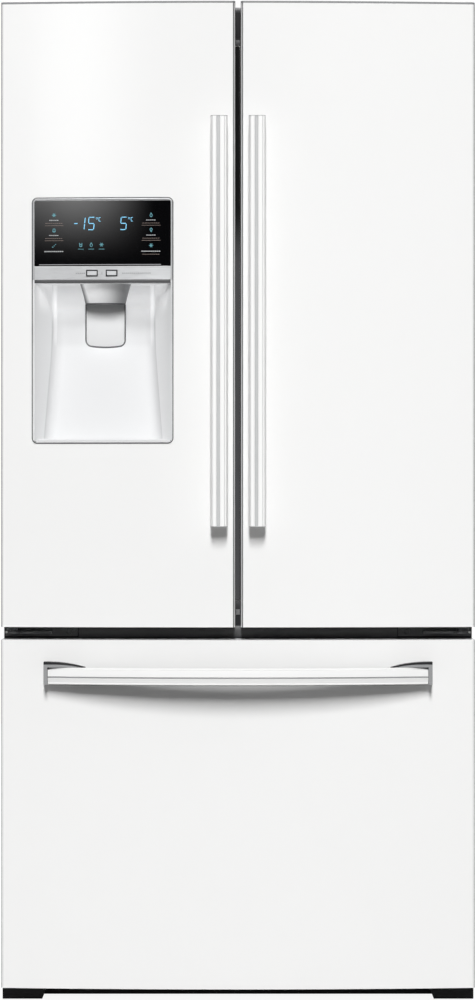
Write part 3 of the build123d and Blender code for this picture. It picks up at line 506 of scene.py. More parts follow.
def swept_frame(bm, x, z, corner, profile):
    """Tube of a closed (inset, y) profile around a rounded rectangle."""
    loops = []
    for inset, y in profile:
        face = plate(bm, (x[0] + inset, x[1] - inset), (z[0] + inset, z[1] - inset), corner, 4)[0]
        bmesh.ops.translate(bm, verts=face.verts, vec=(0, y, 0))
        loops.append(list(face.edges))
        bmesh.ops.delete(bm, geom=[face], context="FACES_ONLY")
    for first, second in zip(loops, loops[1:] + loops[:1]):
        bmesh.ops.bridge_loops(bm, edges=first + second)
    bmesh.ops.recalc_face_normals(bm, faces=bm.faces)


def cut_away(bm, place, direction):
    """Remove what lies beyond a plane and close the cut."""
    cut = bmesh.ops.bisect_plane(
        bm, geom=whole(bm), plane_co=place, plane_no=direction, clear_outer=True
    )
    edges = [item for item in cut["geom_cut"] if isinstance(item, bmesh.types.BMEdge)]
    bmesh.ops.holes_fill(bm, edges=edges)


def slice_x(bm, x, count):
    """Cut the mesh across X so that it can follow the bow."""
    for step in range(1, count):
        at = x[0] + (x[1] - x[0]) * step / count
        bmesh.ops.bisect_plane(bm, geom=whole(bm), plane_co=(at, 0, 0), plane_no=(1, 0, 0))


def bowed(bm, proud):
    """Lay a mesh built on y = 0 onto the bowed front."""
    for vert in bm.verts:
        vert.co.y += front(vert.co.x, proud)


def shifted(bm, y):
    """Move a mesh that was built on y = 0."""
    bmesh.ops.translate(bm, verts=bm.verts, vec=(0, y, 0))


def skin(bm, rows):
    """Quads between successive rows of points."""
    before = None
    for row in rows:
        verts = [bm.verts.new(point) for point in row]
        if before:
            for index in range(len(verts) - 1):
                bm.faces.new((before[index], before[index + 1], verts[index + 1], verts[index]))
        before = verts


def soften(bm, radius, angle=0.6):
    """Bevel the edges that turn by more than an angle."""
    shared = [edge for edge in bm.edges if len(edge.link_faces) == 2]
    sharp = [edge for edge in shared if edge.calc_face_angle() > angle]
    bmesh.ops.bevel(bm, geom=sharp, offset=radius, segments=2, profile=0.5, affect="EDGES", material=-1)


def rounded(points, cuts, steps=4):
    """Close a polygon with every corner cut back and rounded."""
    outline = []
    for index, (point, cut) in enumerate(zip(points, cuts)):
        corner = Vector(point)
        before = Vector(points[index - 1]) - corner
        after = Vector(points[(index + 1) % len(points)]) - corner
        if not cut:
            outline.append(corner)
            continue
        start = corner + before.normalized() * cut
        stop = corner + after.normalized() * cut
        for step in range(steps + 1):
            t = step / steps
            outline.append((1 - t) ** 2 * start + 2 * t * (1 - t) * corner + t**2 * stop)
    return outline


def prism(bm, outline, z):
    """Extrude an (x, y) outline along Z."""
    face = bm.faces.new([bm.verts.new((point[0], point[1], z[0])) for point in outline])
    grown = bmesh.ops.extrude_face_region(bm, geom=[face], use_keep_orig=True)["geom"]
    bmesh.ops.translate(bm, verts=corners(grown), vec=(0, 0, z[1] - z[0]))
    bmesh.ops.recalc_face_normals(bm, faces=bm.faces)


def arch(bm, outline, centre, half_angle, steps=64):
    """Sweep a (y, z) outline in the plane x = 0 along an arc about an upright axis."""
    verts = [bm.verts.new((0, point[0], point[1])) for point in outline]
    face = bm.faces.new(verts)
    turn = Matrix.Rotation(-half_angle, 3, "Z")
    bmesh.ops.rotate(bm, cent=centre, matrix=turn, verts=verts)
    bmesh.ops.spin(
        bm, geom=[face], cent=centre, axis=(0, 0, 1), angle=2 * half_angle, steps=steps, use_duplicate=False
    )
    bmesh.ops.holes_fill(bm, edges=bm.edges)
    bmesh.ops.recalc_face_normals(bm, faces=bm.faces)


def stroke(bm, start, end, width):
    """Flat bar between two points of the XZ plane."""
    start, end = Vector(start), Vector(end)
    along = end - start
    middle = (start + end) / 2
    turn = Matrix.Rotation(-math.atan2(along.y, along.x), 4, "Y")
    size = Matrix.Diagonal((along.length, FILM, width, 1))
    place = Matrix.Translation((middle.x, 0, middle.y)) @ turn @ size
    bmesh.ops.create_cube(bm, size=1, matrix=place)


def piece(name, bm, material, body):
    """Turn a bmesh into a piece that rides on a body."""
    mesh = bpy.data.meshes.new(name)
    bm.to_mesh(mesh)
    bm.free()
    mesh.materials.append(material)
    mesh.shade_smooth()
    mesh.set_sharp_from_angle(angle=CREASE)
    item = bpy.data.objects.new(name, mesh)
    bpy.context.scene.collection.objects.link(item)
    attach(item, body)
    return item


def paint(node, material):
    """Give a carried-over node one material."""
    data = nodes[node].data
    data.materials.clear()
    data.materials.append(material)


# Operators


class FRIDGE_OT_finishes(bpy.types.Operator):
    """Give every carried-over node its finish"""

    bl_idname = "fridge.finishes"
    bl_label = "Finishes"

    def execute(self, context):
        for family in (self.outside(), self.metals(), self.inside(), self.dispenser()):
            for material, names in family.items():
                for node in names.split():
                    paint(node, material)
        return {"FINISHED"}

    def outside(self):
        """Fronts, handles, cabinet, face frame, seals and black mouldings."""
        look = finishes()
        cabinet = surface(
            "cabinet_paint", look.cabinet, 0.6, scale=1200.0, bump=0.10, variation=0.006,
            Specular_IOR_Level=0.25,
        )
        back = surface(
            "coated_back", (0.62, 0.63, 0.64), 0.45, scale=160.0, bump=0.03, variation=0.02, Metallic=0.3
        )
        cap = surface(
            "end_cap", look.enamel, 0.4, scale=900.0, bump=0.04, variation=0.02,
            upper=look.cap, levels=(1.0, 1.4),
        )
        # Painted shade: from 1.2 m upwards the face frame turns darker, deepest at the top of the seam
        # between the doors
        face = surface(
            "frame_face", look.dark, 0.4, upper=(0.006, 0.006, 0.007), levels=(1.2, 1.6),
            Specular_IOR_Level=0.2, **SATIN,
        )
        return {
            enamel(): "left_door_skin right_door_skin freezer_skin",
            handle_white(): "left_handle right_handle freezer_handle",
            bracket_grey(): "freezer_handle_brackets",
            cabinet: "cabinet_wrapper top_hinge_covers",
            back: "back_panel",
            cap: "left_door_caps right_door_caps",
            face: "front_frame",
            flipper_face(): "flipper_bar",
            seal_rubber(): "left_door_gasket right_door_gasket freezer_gasket",
            black_plastic(): "toe_grille condenser_fan evaporator_fan rear_rollers",
        }

    def metals(self):
        """Hinges, runners, motors and the machine bay."""
        zinc = surface(
            "zinc_steel", (0.55, 0.56, 0.57), 0.38, texture="brushed_x", scale=260.0, bump=0.06,
            variation=0.10, spread=0.10, Metallic=1.0,
        )
        hinge = surface("hinge_steel", (0.13, 0.132, 0.137), 0.38, scale=500.0, bump=0.05, variation=0.08)
        steel = surface("black_steel", (0.02, 0.02, 0.022), 0.35, scale=500.0, bump=0.05, variation=0.1)
        fins = surface(
            "fin_aluminium", (0.7, 0.71, 0.72), 0.4, texture="brushed_z", scale=300.0, bump=0.08,
            variation=0.06, spread=0.08, Metallic=1.0,
        )
        return {
            zinc: "base_pan top_hinges condenser_fan_motor evaporator_fan_motor "
            "freezer_fixed_rails freezer_middle_rails drawer_frame rear_cover",
            hinge: "middle_hinges hinge_screws",
            steel: "compressor condenser_coil levelling_legs",
            fins: "evaporator",
        }

    def inside(self):
        """Liners, bins, drawers, shelves and insulation."""
        foam = surface("foam", (0.72, 0.62, 0.40), 0.85, scale=250.0, bump=0.4, variation=0.06)
        tub = clear("clear_bin", (0.93, 0.96, 0.97), 0.06)
        pane = clear("shelf_glass", (0.90, 0.96, 0.94), 0.02)
        return {
            liner_white(): "fridge_liner freezer_liner left_door_liner right_door_liner "
            "freezer_front_liner air_duct shelf_frames ice_maker evaporator_cover",
            tub: "left_door_bins right_door_bins crisper_left crisper_right "
            "freezer_basket freezer_upper_drawer ice_bucket",
            pane: "shelf_glass",
            foam: "cabinet_insulation",
        }

    def dispenser(self):
        """Housing, glass, strip, buttons, chute and lever."""
        glass = surface(
            "control_glass", (0.002, 0.002, 0.0025), 0.03, scale=200.0, bump=0.0, variation=0.1,
            spread=0.01, Coat_Weight=1.0, Coat_Roughness=0.0,
        )
        button = surface(
            "button_silver", (0.62, 0.63, 0.64), 0.32, texture="brushed_x", scale=900.0, bump=0.05,
            variation=0.04, spread=0.05, Metallic=0.6,
        )
        return {
            recess_white(): "dispenser_housing",
            glass: "control_glass",
            silver(): "dispenser_strip ice_chute dispenser_lever",
            button: "ice_button water_button",
        }


class FRIDGE_OT_door_handles(bpy.types.Operator):
    """Upright bars with a grey strip in the groove that paints its shade, and the posts that carry them"""

    bl_idname = "fridge.door_handles"
    bl_label = "Door handles"

    end_plate: length("End plate", "Thickness of the plate on each end", 0.0012)
    thick: length("Thickness", "Thickness of the bars", 0.014)
    post_inset: length("Post inset", "From the end of a bar to the middle of a post", 0.034)
    post_half: length("Post half width", "Half the width of a post", 0.009)
    post_rise: length("Post half height", "Half the height of a post", 0.020)

    def execute(self, context):
        for node, body in (("left_handle", "left_door"), ("right_handle", "right_door")):
            low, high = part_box(node)
            self.bar(node, body, low, high)
            self.inlay(node, body, low, high)
        return {"FINISHED"}

    def bar(self, node, body, low, high):
        wide = high.x - low.x
        # Section from the left edge and the front: left facet, face, groove, face, right facets
        points = [
            (0.0003, self.thick), (0.0003, 0.0085), (0.0042, 0.0), (0.0106, 0.0), (0.0111, 0.0030),
            (0.0165, 0.0030), (0.0170, 0.0), (0.0242, 0.0), (0.0254, 0.0030), (0.0276, 0.0036),
            (wide, 0.0085), (wide, self.thick),
        ]
        cuts = [0.002, 0.002, 0.0008, 0.0003, 0, 0, 0.0003, 0.0006, 0.0006, 0.0006, 0.002, 0.002]
        outline = [(low.x + x, low.y + y) for x, y in rounded(points, cuts)]
        bm = bmesh.new()
        prism(bm, outline, (low.z + self.end_plate, high.z - self.end_plate))
        middle = (low.x + high.x) / 2
        for z in (low.z + self.post_inset, high.z - self.post_inset):
            start = (middle - self.post_half, low.y + self.thick - 0.001, z - self.post_rise)
            bar(bm, start, (middle + self.post_half, front(middle) + 0.0005, z + self.post_rise), 0.0035)
        item = piece(node + "_bar", bm, handle_white(), body)
        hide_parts(node)

        bm = bmesh.new()
        plain = rounded(points[:3] + points[7:], [0.001] * 8)
        solid = [(low.x + x, low.y + y + 0.0004) for x, y in plain]
        prism(bm, solid, (high.z - self.end_plate, high.z))
        prism(bm, solid, (low.z, low.z + self.end_plate))
        plates = surface("handle_end", (0.40, 0.405, 0.41), 0.4, scale=700.0, bump=0.03, variation=0.02)
        piece(node + "_ends", bm, plates, body)

    def inlay(self, node, body, low, high):
        bm = bmesh.new()
        points = [(0.0112, 0.0036), (0.0112, 0.0008), (0.0140, 0.0017), (0.0164, 0.0010), (0.0164, 0.0036)]
        outline = [(low.x + x, low.y + y) for x, y in rounded(points, [0, 0.0004, 0.0026, 0.0004, 0])]
        prism(bm, outline, (low.z + self.end_plate, high.z - self.end_plate))
        # Painted shade: the strip's grey stands in for the shade in the groove of the bar
        satin = surface(
            "handle_groove_shade", finishes().inlay, 0.42, texture="brushed_z", scale=900.0, bump=0.04,
            variation=0.03, spread=0.05,
        )
        piece(node + "_inlay", bm, satin, body)


class FRIDGE_OT_freezer_handle(bpy.types.Operator):
    """Arched bar with a creased front and painted shade: grey in the crease, a black lining that deepens
    its shadow, and dark pads behind its ends
    """

    bl_idname = "fridge.freezer_handle"
    bl_label = "Freezer handle"

    radius: length("Radius", "Radius of the arch at the front of the bar", 1.134)
    pad_length: length("Pad length", "Reach of each dark pad along the bar", 0.073)
    pad_drop: length("Pad drop", "Fall of each pad towards its tip", 0.0093)

    def execute(self, context):
        # Section from the front and the middle: back, top facets, face, crease, face, lower lip, back
        points = [
            (0.016, 0.015), (0.0060, 0.015), (0.0022, 0.0120), (0.0030, 0.0115), (0.0013, 0.0110),
            (0.0, -0.0003), (0.0012, -0.0009), (0.0012, -0.0031), (0.0, -0.0037), (0.0016, -0.0114),
            (0.0010, -0.0120), (0.0010, -0.0138), (0.0036, -0.015), (0.016, -0.015),
        ]
        cuts = [0.002, 0.0012, 0.0003, 0, 0.0003, 0, 0, 0, 0, 0.0003, 0.0003, 0.0006, 0.0008, 0.002]
        # Painted shade: the bar is a darker copy of the handle white, so that its lit upper facet does not
        # clip
        white = surface("bar_white", finishes().bar, 0.45, Specular_IOR_Level=0.15, **FINE)
        item = self.swept("freezer_handle_bar", rounded(points, cuts, 3), 1.0, white, "white_handle")
        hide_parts("freezer_handle")

        # Painted shade: a grey strip in the crease stands in for the shade in the groove
        groove = [(0.0024, -0.0007), (0.0011, -0.0007), (0.0011, -0.0033), (0.0024, -0.0033)]
        satin = surface(
            "crease_painted_shade", (0.30, 0.303, 0.307), 0.45, texture="brushed_x", scale=900.0, bump=0.04,
            variation=0.03, spread=0.05,
        )
        self.swept("freezer_handle_crease", groove, 0.9995, satin, "white_handle")

        # Painted shade: a black lining on the back and underside of the bar darkens the shadow it casts on
        # the drawer front
        lining = [
            (0.0161, 0.0146), (0.0166, 0.0146), (0.0166, -0.0155), (0.0040, -0.0155), (0.0040, -0.0151),
            (0.0161, -0.0151),
        ]
        self.swept("freezer_handle_shade_lining", lining, 0.998, black_plastic(), "black_plastic")
        self.pads(*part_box("freezer_handle_brackets"))
        return {"FINISHED"}

    def swept(self, name, outline, share, material, slot):
        """Arch a (y, z) outline, measured from the front and middle of the bar, over a share of its arc."""
        low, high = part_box("freezer_handle")
        middle = (low.z + high.z) / 2
        centre = (0, low.y + self.radius, 0)
        angle = math.asin(high.x / self.radius)
        bm = bmesh.new()
        arch(bm, [(low.y + y, middle + z) for y, z in outline], centre, angle * share)
        return piece(name, bm, material, "freezer_drawer")

    def pads(self, near, end):
        """Black crescent along the top of each bracket, a pad whose black also paints the shade on the
        bracket's top, and the grey wedge between it and the bar.
        """
        steps = 12
        upper = []
        lower = []
        for step in range(steps + 1):
            t = step / steps
            x = end.x - t * self.pad_length
            z = end.z + 0.0004 - self.pad_drop * t**2.4
            upper.append((x, z))
            lower.append((x, z - 0.0046 + 0.0024 * t))
        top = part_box("freezer_handle")[1].z + 0.0002
        crescent = upper + lower[::-1]
        wedge = [point for point in lower if point[1] > top + 0.0003]
        wedge += [(wedge[-1][0], top), (wedge[0][0], top)]
        self.extruded("freezer_handle_pads", crescent, near.y - 0.0006, black_plastic(), "black_plastic")
        self.extruded("freezer_handle_wedges", wedge, near.y - 0.0002, bracket_grey(), "bracket_grey")

    def extruded(self, name, outline, y, material, slot):
        """An (x, z) outline and its mirror image, drawn back to the drawer front."""
        bm = bmesh.new()
        for sign in (1, -1):
            face = bm.faces.new([bm.verts.new((sign * x, y, z)) for x, z in outline])
            grown = bmesh.ops.extrude_face_region(bm, geom=[face], use_keep_orig=True)["geom"]
            for vert in corners(grown):
                vert.co.y = front(vert.co.x) + 0.0005
        bmesh.ops.recalc_face_normals(bm, faces=bm.faces)
        piece(name, bm, material, "freezer_drawer")


class FRIDGE_OT_edge_trim(bpy.types.Operator):
    """Grey strips over the rounded upright edges of the doors and the drawer, and dark strips at the seam:
    painted shade on the roundings
    """

    bl_idname = "fridge.edge_trim"
    bl_label = "Edge trim"

    stand_off: length("Stand-off", "How far a strip lies over the skin", 0.00025)

    def execute(self, context):
        grey = surface(
            "edge_trim", finishes().edge, 0.4, texture="brushed_z", scale=500.0, bump=0.05,
            variation=0.04, spread=0.06,
        )
        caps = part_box("right_door_caps")
        doors = (caps[0].z, caps[1].z)
        inner, outer = DOOR_LOW.x, DOOR_HIGH.x
        for sign, body in ((-1, "left_door"), (1, "right_door")):
            bm = bmesh.new()
            self.strip(bm, sign, inner, 1, (0.80, 1.20), doors)
            self.strip(bm, sign, outer, -1, (0.14, 0.75), doors)
            piece(body + "_edge_trim", bm, grey, body)
            # Painted shade: a dark strip on the inner flank of each door deepens the seam between the doors
            bm = bmesh.new()
            self.strip(bm, sign, inner, 1, (0.0, 0.34), doors)
            piece(body + "_inner_edge", bm, dark_frame(), body)
        bm = bmesh.new()
        for sign in (-1, 1):
            self.strip(bm, sign, outer, -1, (0.14, 0.6), (DRAWER_LOW.z, DRAWER_HIGH.z))
        piece("drawer_edge_trim", bm, grey, "freezer_drawer")
        return {"FINISHED"}

    def strip(self, bm, side, edge, inwards, sweep, z, steps=8):
        """Thin shell over the rounding at an edge; sweep is measured from the flank to the front."""
        radius = sizes().edge_radius
        middle = edge + inwards * radius
        depth = front(middle, -radius)
        reach = radius + self.stand_off
        if inwards < 0:
            middle -= self.stand_off
        angles = [sweep[0] + (sweep[1] - sweep[0]) * step / steps for step in range(steps + 1)]
        outline = []
        for size, turns in ((reach, angles), (radius - 0.0008, angles[::-1])):
            for turn in turns:
                x = middle - inwards * size * math.cos(turn)
                outline.append((side * x, depth - size * math.sin(turn)))
        prism(bm, outline, z)


class FRIDGE_OT_hinge_details(bpy.types.Operator):
    """Hinge blocks, washers and pin caps, flipper guide and stops, and the covers of the face frame"""

    bl_idname = "fridge.hinge_details"
    bl_label = "Hinge details"

    pin_inset: length("Pin inset", "From the side of a middle hinge to its pin", 0.016)
    pin_depth: length("Pin depth", "From the front of a middle hinge to its pin", 0.01396)

    def execute(self, context):
        self.middle_hinges()
        self.flipper()
        self.covers()
        return {"FINISHED"}

    def middle_hinges(self):
        low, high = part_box("middle_hinges")
        pin = Vector((high.x - self.pin_inset, low.y + self.pin_depth))
        floor = DRAWER_HIGH.z
        blocks = bmesh.new()
        washers = bmesh.new()
        caps = bmesh.new()
        shapes = (
            ((0.334, 0.376), 0.0075, (0.0090, 0.0180), 0.001),
            ((0.290, 0.306), 0.0050, (0.0125, 0.0150), 0.0006),
        )
        for sign in (-1, 1):
            for reach, proud, z, radius in shapes:
                x = sorted(sign * edge for edge in reach)
                start = (x[0], FRAME_FACE - proud, floor + z[0])
                bar(blocks, start, (x[1], FRAME_FACE - 0.003, floor + z[1]), radius)
            disc(washers, (sign * pin.x, pin.y, floor + 0.017), 0.0105, 0.005, "Z", 32)
            disc(caps, (sign * (pin.x + 0.0115), pin.y - 0.0085, floor + 0.0117), 0.0019, 0.006, "Y", 20)
        grey = surface("hinge_block", (0.14, 0.142, 0.147), 0.4, **MOULDED)
        # White pin caps, whose white also paints glints at the hinge pins
        nylon = surface("white_nylon", (0.82, 0.82, 0.80), 0.45, scale=700.0, bump=0.03)
        piece("hinge_blocks", blocks, grey, "cabinet")
        piece("hinge_washers", washers, dark_frame(), "cabinet")
        piece("hinge_pin_caps", caps, nylon, "cabinet")

    def flipper(self):
        """Stops above and below the flipper, the guide that turns it, and its soft lip."""
        low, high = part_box("flipper_bar")
        stop = bmesh.new()
        self.plaque(stop, 0.0060, 0.0012, (low.z - 0.0155, low.z - 0.0004), 0.0004)
        self.plaque(stop, 0.0060, 0.0012, (high.z + 0.0004, high.z + 0.0110), 0.0004)
        black = surface("guide_black", (0.06, 0.061, 0.064), 0.5, **MOULDED)
        piece("flipper_stop", stop, black, "cabinet")
        guide = bmesh.new()
        self.plaque(guide, 0.0034, 0.0016, (low.z - 0.0250, low.z - 0.0155), 0.0006)
        self.plaque(guide, 0.0040, 0.0022, (low.z - 0.0170, low.z - 0.0155), 0.0005)
        self.plaque(guide, 0.0040, 0.0022, (low.z - 0.0250, low.z - 0.0235), 0.0005)
        pale = surface("guide_grey", (0.30, 0.303, 0.308), 0.45, scale=700.0, bump=0.06, variation=0.04)
        piece("flipper_guide", guide, pale, "cabinet")
        lip = bmesh.new()
        start = (high.x - 0.001, low.y + 0.0004, low.z + 0.001)
        bar(lip, start, (high.x + 0.0027, low.y + 0.0030, high.z - 0.001), 0.0006)
        piece("flipper_lip", lip, flipper_face(), "flipper")

    def covers(self):
        """Plate over the frame between doors and drawer, and the trim along the cabinet's top."""
        cover = bmesh.new()
        self.plaque(cover, 0.2835, 0.0006, (DRAWER_HIGH.z + 0.0015, DRAWER_HIGH.z + 0.0215), 0.0003)
        satin = surface("mullion_face", (0.05, 0.051, 0.054), 0.4, Specular_IOR_Level=1.0, **SATIN)
        piece("mullion_cover", cover, satin, "cabinet")
        trim = bmesh.new()
        start = (-0.330, FRAME_FACE, FRAME_TOP - 0.0015)
        bar(trim, start, (0.330, FRAME_FACE + 0.020, FRAME_TOP + 0.0092), 0.0015)
        piece("cabinet_top_trim", trim, dark_frame(), "cabinet")

    def plaque(self, bm, half, proud, z, radius):
        """Flat block in the middle of the face frame."""
        bar(bm, (-half, FRAME_FACE - proud, z[0]), (half, FRAME_FACE + 0.0005, z[1]), radius)


class FRIDGE_OT_dispenser_trim(bpy.types.Operator):
    """Outline, bezel, shadow gap, button frames and lining of the dispenser"""

    bl_idname = "fridge.dispenser_trim"
    bl_label = "Dispenser trim"

    outline: length("Outline", "Width of the dark line around the dispenser", 0.0018)
    recess_corner: length("Recess corner", "Rounding between the walls of the recess", 0.016)
    ramp_blend: length("Ramp blend", "Softness of the change from the ramp to the back wall", 0.006)
    dash: length("Dash", "Length of a printed dash", 0.0024)
    dash_pitch: length("Dash pitch", "From one printed dash to the next", 0.0034)
    # Recess of the solid: start and slope of its tapered sides, back wall, foot and slope of the ramp
    taper_start = HOUSING_LOW.y + 0.0098
    taper = 0.4462
    wall = HOUSING_HIGH.y - 0.0064
    ramp_foot = HOUSING_HIGH.y - 0.0364
    ramp_slope = 0.1749

    def execute(self, context):
        self.surround()
        self.gap_and_line()
        self.button_frames()
        self.marks()
        self.recess()
        return {"FINISHED"}

    def surround(self):
        size = sizes()
        line = self.outline
        x = (HOUSING_LOW.x, HOUSING_HIGH.x)
        z = (HOUSING_LOW.z, HOUSING_HIGH.z)
        outer_x, outer_z = (x[0] - line, x[1] + line), (z[0] - line, z[1] + line)
        bm = bmesh.new()
        ring(bm, outer_x, outer_z, size.corner + line, 2 * line, 0.0012)
        slice_x(bm, x, 16)
        bowed(bm, -0.0002)
        # Painted shade: a dark ring stands in for the shadow in the gap between the door skin and the
        # housing
        gap_shade = surface("outline_painted_shade", (0.055, 0.056, 0.058), 0.5, scale=700.0, bump=0.08, variation=0.06)
        piece("dispenser_outline", bm, gap_shade, "left_door")

        bm = bmesh.new()
        ring(bm, x, z, size.corner, size.bezel_rim, 0.0010)
        soften(bm, 0.0004)
        slice_x(bm, x, 16)
        cut_away(bm, (0, 0, STRIP_LOW.z), (0, 0, -1))
        bowed(bm, 0.0014)
        bezel = surface(
            "bezel_satin", (0.36, 0.365, 0.37), 0.5, texture="brushed_x", scale=700.0, bump=0.05,
            variation=0.08, spread=0.08, Metallic=0.9,
        )
        piece("dispenser_bezel", bm, bezel, "left_door")

    def gap_and_line(self):
        bm = bmesh.new()
        bar(bm, (STRIP_LOW.x, -0.0018, RECESS_TOP + 0.0002), (STRIP_HIGH.x, 0.002, STRIP_LOW.z), 0.0004)
        slice_x(bm, (STRIP_LOW.x, STRIP_HIGH.x), 16)
        bowed(bm, 0.0)
        # Painted shade: a dark bar under the strip stands in for the shadow at the top of the recess
        gap = surface("shadow_gap", (0.055, 0.056, 0.058), 0.5, **MOULDED)
        piece("dispenser_gap", bm, gap, "left_door")

        # Painted highlight: a thin glowing line along the foot of the control glass
        bm = bmesh.new()
        start = (GLASS_LOW.x + 0.008, -0.0003, GLASS_LOW.z + 0.0020)
        bar(bm, start, (GLASS_HIGH.x - 0.017, 0.0002, GLASS_LOW.z + 0.0032))
        slice_x(bm, (GLASS_LOW.x, GLASS_HIGH.x), 16)
        bowed(bm, 0.001)
        light = glowing("glass_line_highlight", (0.20, 0.203, 0.207), 0.6)
        piece("glass_line", bm, light, "left_door")

    def button_frames(self):
        for node in ("ice_button", "water_button"):
            low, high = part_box(node)
            centre = (low + high) / 2
            x = (centre.x - 0.0103, centre.x + 0.0103)
            z = (centre.z - 0.0058, centre.z + 0.0058)
            bm = bmesh.new()
            ring(bm, x, z, 0.0013, 0.0021, 0.0010)
            shifted(bm, low.y + 0.0006)
            piece(node + "_frame", bm, black_plastic(), node)

    def marks(self):
        """Short printed dashes beside the buttons."""
        middle = (STRIP_LOW.z + STRIP_HIGH.z) / 2
        bm = bmesh.new()
        for start, count in ((0.0727, 5), (0.1542, 15)):
            for index in range(count):
                x = STRIP_LOW.x + start + index * self.dash_pitch
                stroke(bm, (x, middle), (x + self.dash, middle), 0.0010)
        x = STRIP_LOW.x + 0.1187
        stroke(bm, (x, middle - 0.0020), (x, middle + 0.0020), 0.0006)
        slice_x(bm, (STRIP_LOW.x, STRIP_HIGH.x), 12)
        bowed(bm, 0.0013)
        ink = surface("grey_ink", (0.13, 0.132, 0.135), 0.5, scale=900.0, bump=0.02, variation=0.04)
        piece("strip_marks", bm, ink, "left_door")

    def lining_rows(self, steps=40):
        """Level outlines of the recess from its floor to its ceiling, with rounded corners."""
        mouth = (HOUSING_LOW.x + 0.0031, HOUSING_HIGH.x - 0.0031)
        rows = []
        for step in range(steps + 1):
            z = RECESS_FLOOR + (RECESS_TOP - RECESS_FLOOR) * step / steps
            depth = self.depth(z)
            reach = (depth - self.taper_start) * self.taper
            points = [
                (mouth[0], self.taper_start), (mouth[0] + reach, depth),
                (mouth[1] - reach, depth), (mouth[1], self.taper_start),
            ]
            outline = rounded(points, [0, self.recess_corner, self.recess_corner, 0], 10)
            rows.append([(point[0], point[1], z) for point in outline])
        return rows

    def recess(self):
        """Moulded lining with soft corners over the walls and the ramp of the recess, and its sill, with
        painted light and shade: a painted highlight on the corners, lighter cheeks and a painted glow under
        the ceiling.
        """
        look = finishes()
        grain = {"Specular_IOR_Level": 0.1, **FINE}
        # Painted highlight: above the ramp, the rounded corners of the back wall are a brighter copy of the
        # recess colour, with the painted glow on top
        painted_highlight = [1.15 * part for part in look.recess]
        levels = (RECESS_BREAK, RECESS_BREAK + 0.025)
        corner = surface("corner_highlight", look.recess, 0.5, upper=painted_highlight, levels=levels, **grain)
        painted_light_from_above(corner, **RECESS_PAINTED_LIGHT)
        # Painted light: the side walls are a lighter copy of the recess colour, with a weaker painted glow
        # near the ceiling
        cheek = surface("cheek_white", look.cheek, 0.5, **grain)
        painted_light_from_above(cheek, strength=0.25, start=0.060, peak=0.010, share=1.0)
        parts = {
            "recess_lining": (recess_white(), (slice(1, 4), slice(6, 18), slice(20, 23))),
            "recess_corners": (corner, (slice(3, 7), slice(17, 21))),
            "recess_cheeks": (cheek, (slice(0, 2), slice(-2, None))),
        }
        rows = self.lining_rows()
        for name, (material, bands) in parts.items():
            bm = bmesh.new()
            for band in bands:
                skin(bm, [row[band] for row in rows])
            piece(name, bm, material, "left_door")

        x = (HOUSING_LOW.x + 0.0085, HOUSING_HIGH.x - 0.0085)
        bm = bmesh.new()
        bar(bm, (x[0], 0.0032, RECESS_FLOOR - 0.0001), (x[1], 0.0100, RECESS_FLOOR + 0.0034), 0.0012)
        slice_x(bm, x, 16)
        bowed(bm, 0.0)
        piece("recess_lip", bm, recess_white(), "left_door")

    def depth(self, z):
        """Y of the lining at a height: a ramp that eases into the upright back wall."""
        ramp = self.ramp_foot + (z - RECESS_FLOOR) * self.ramp_slope
        blend = max(self.ramp_blend - abs(ramp - self.wall), 0) / self.ramp_blend
        return min(ramp, self.wall) - blend**2 * self.ramp_blend / 4


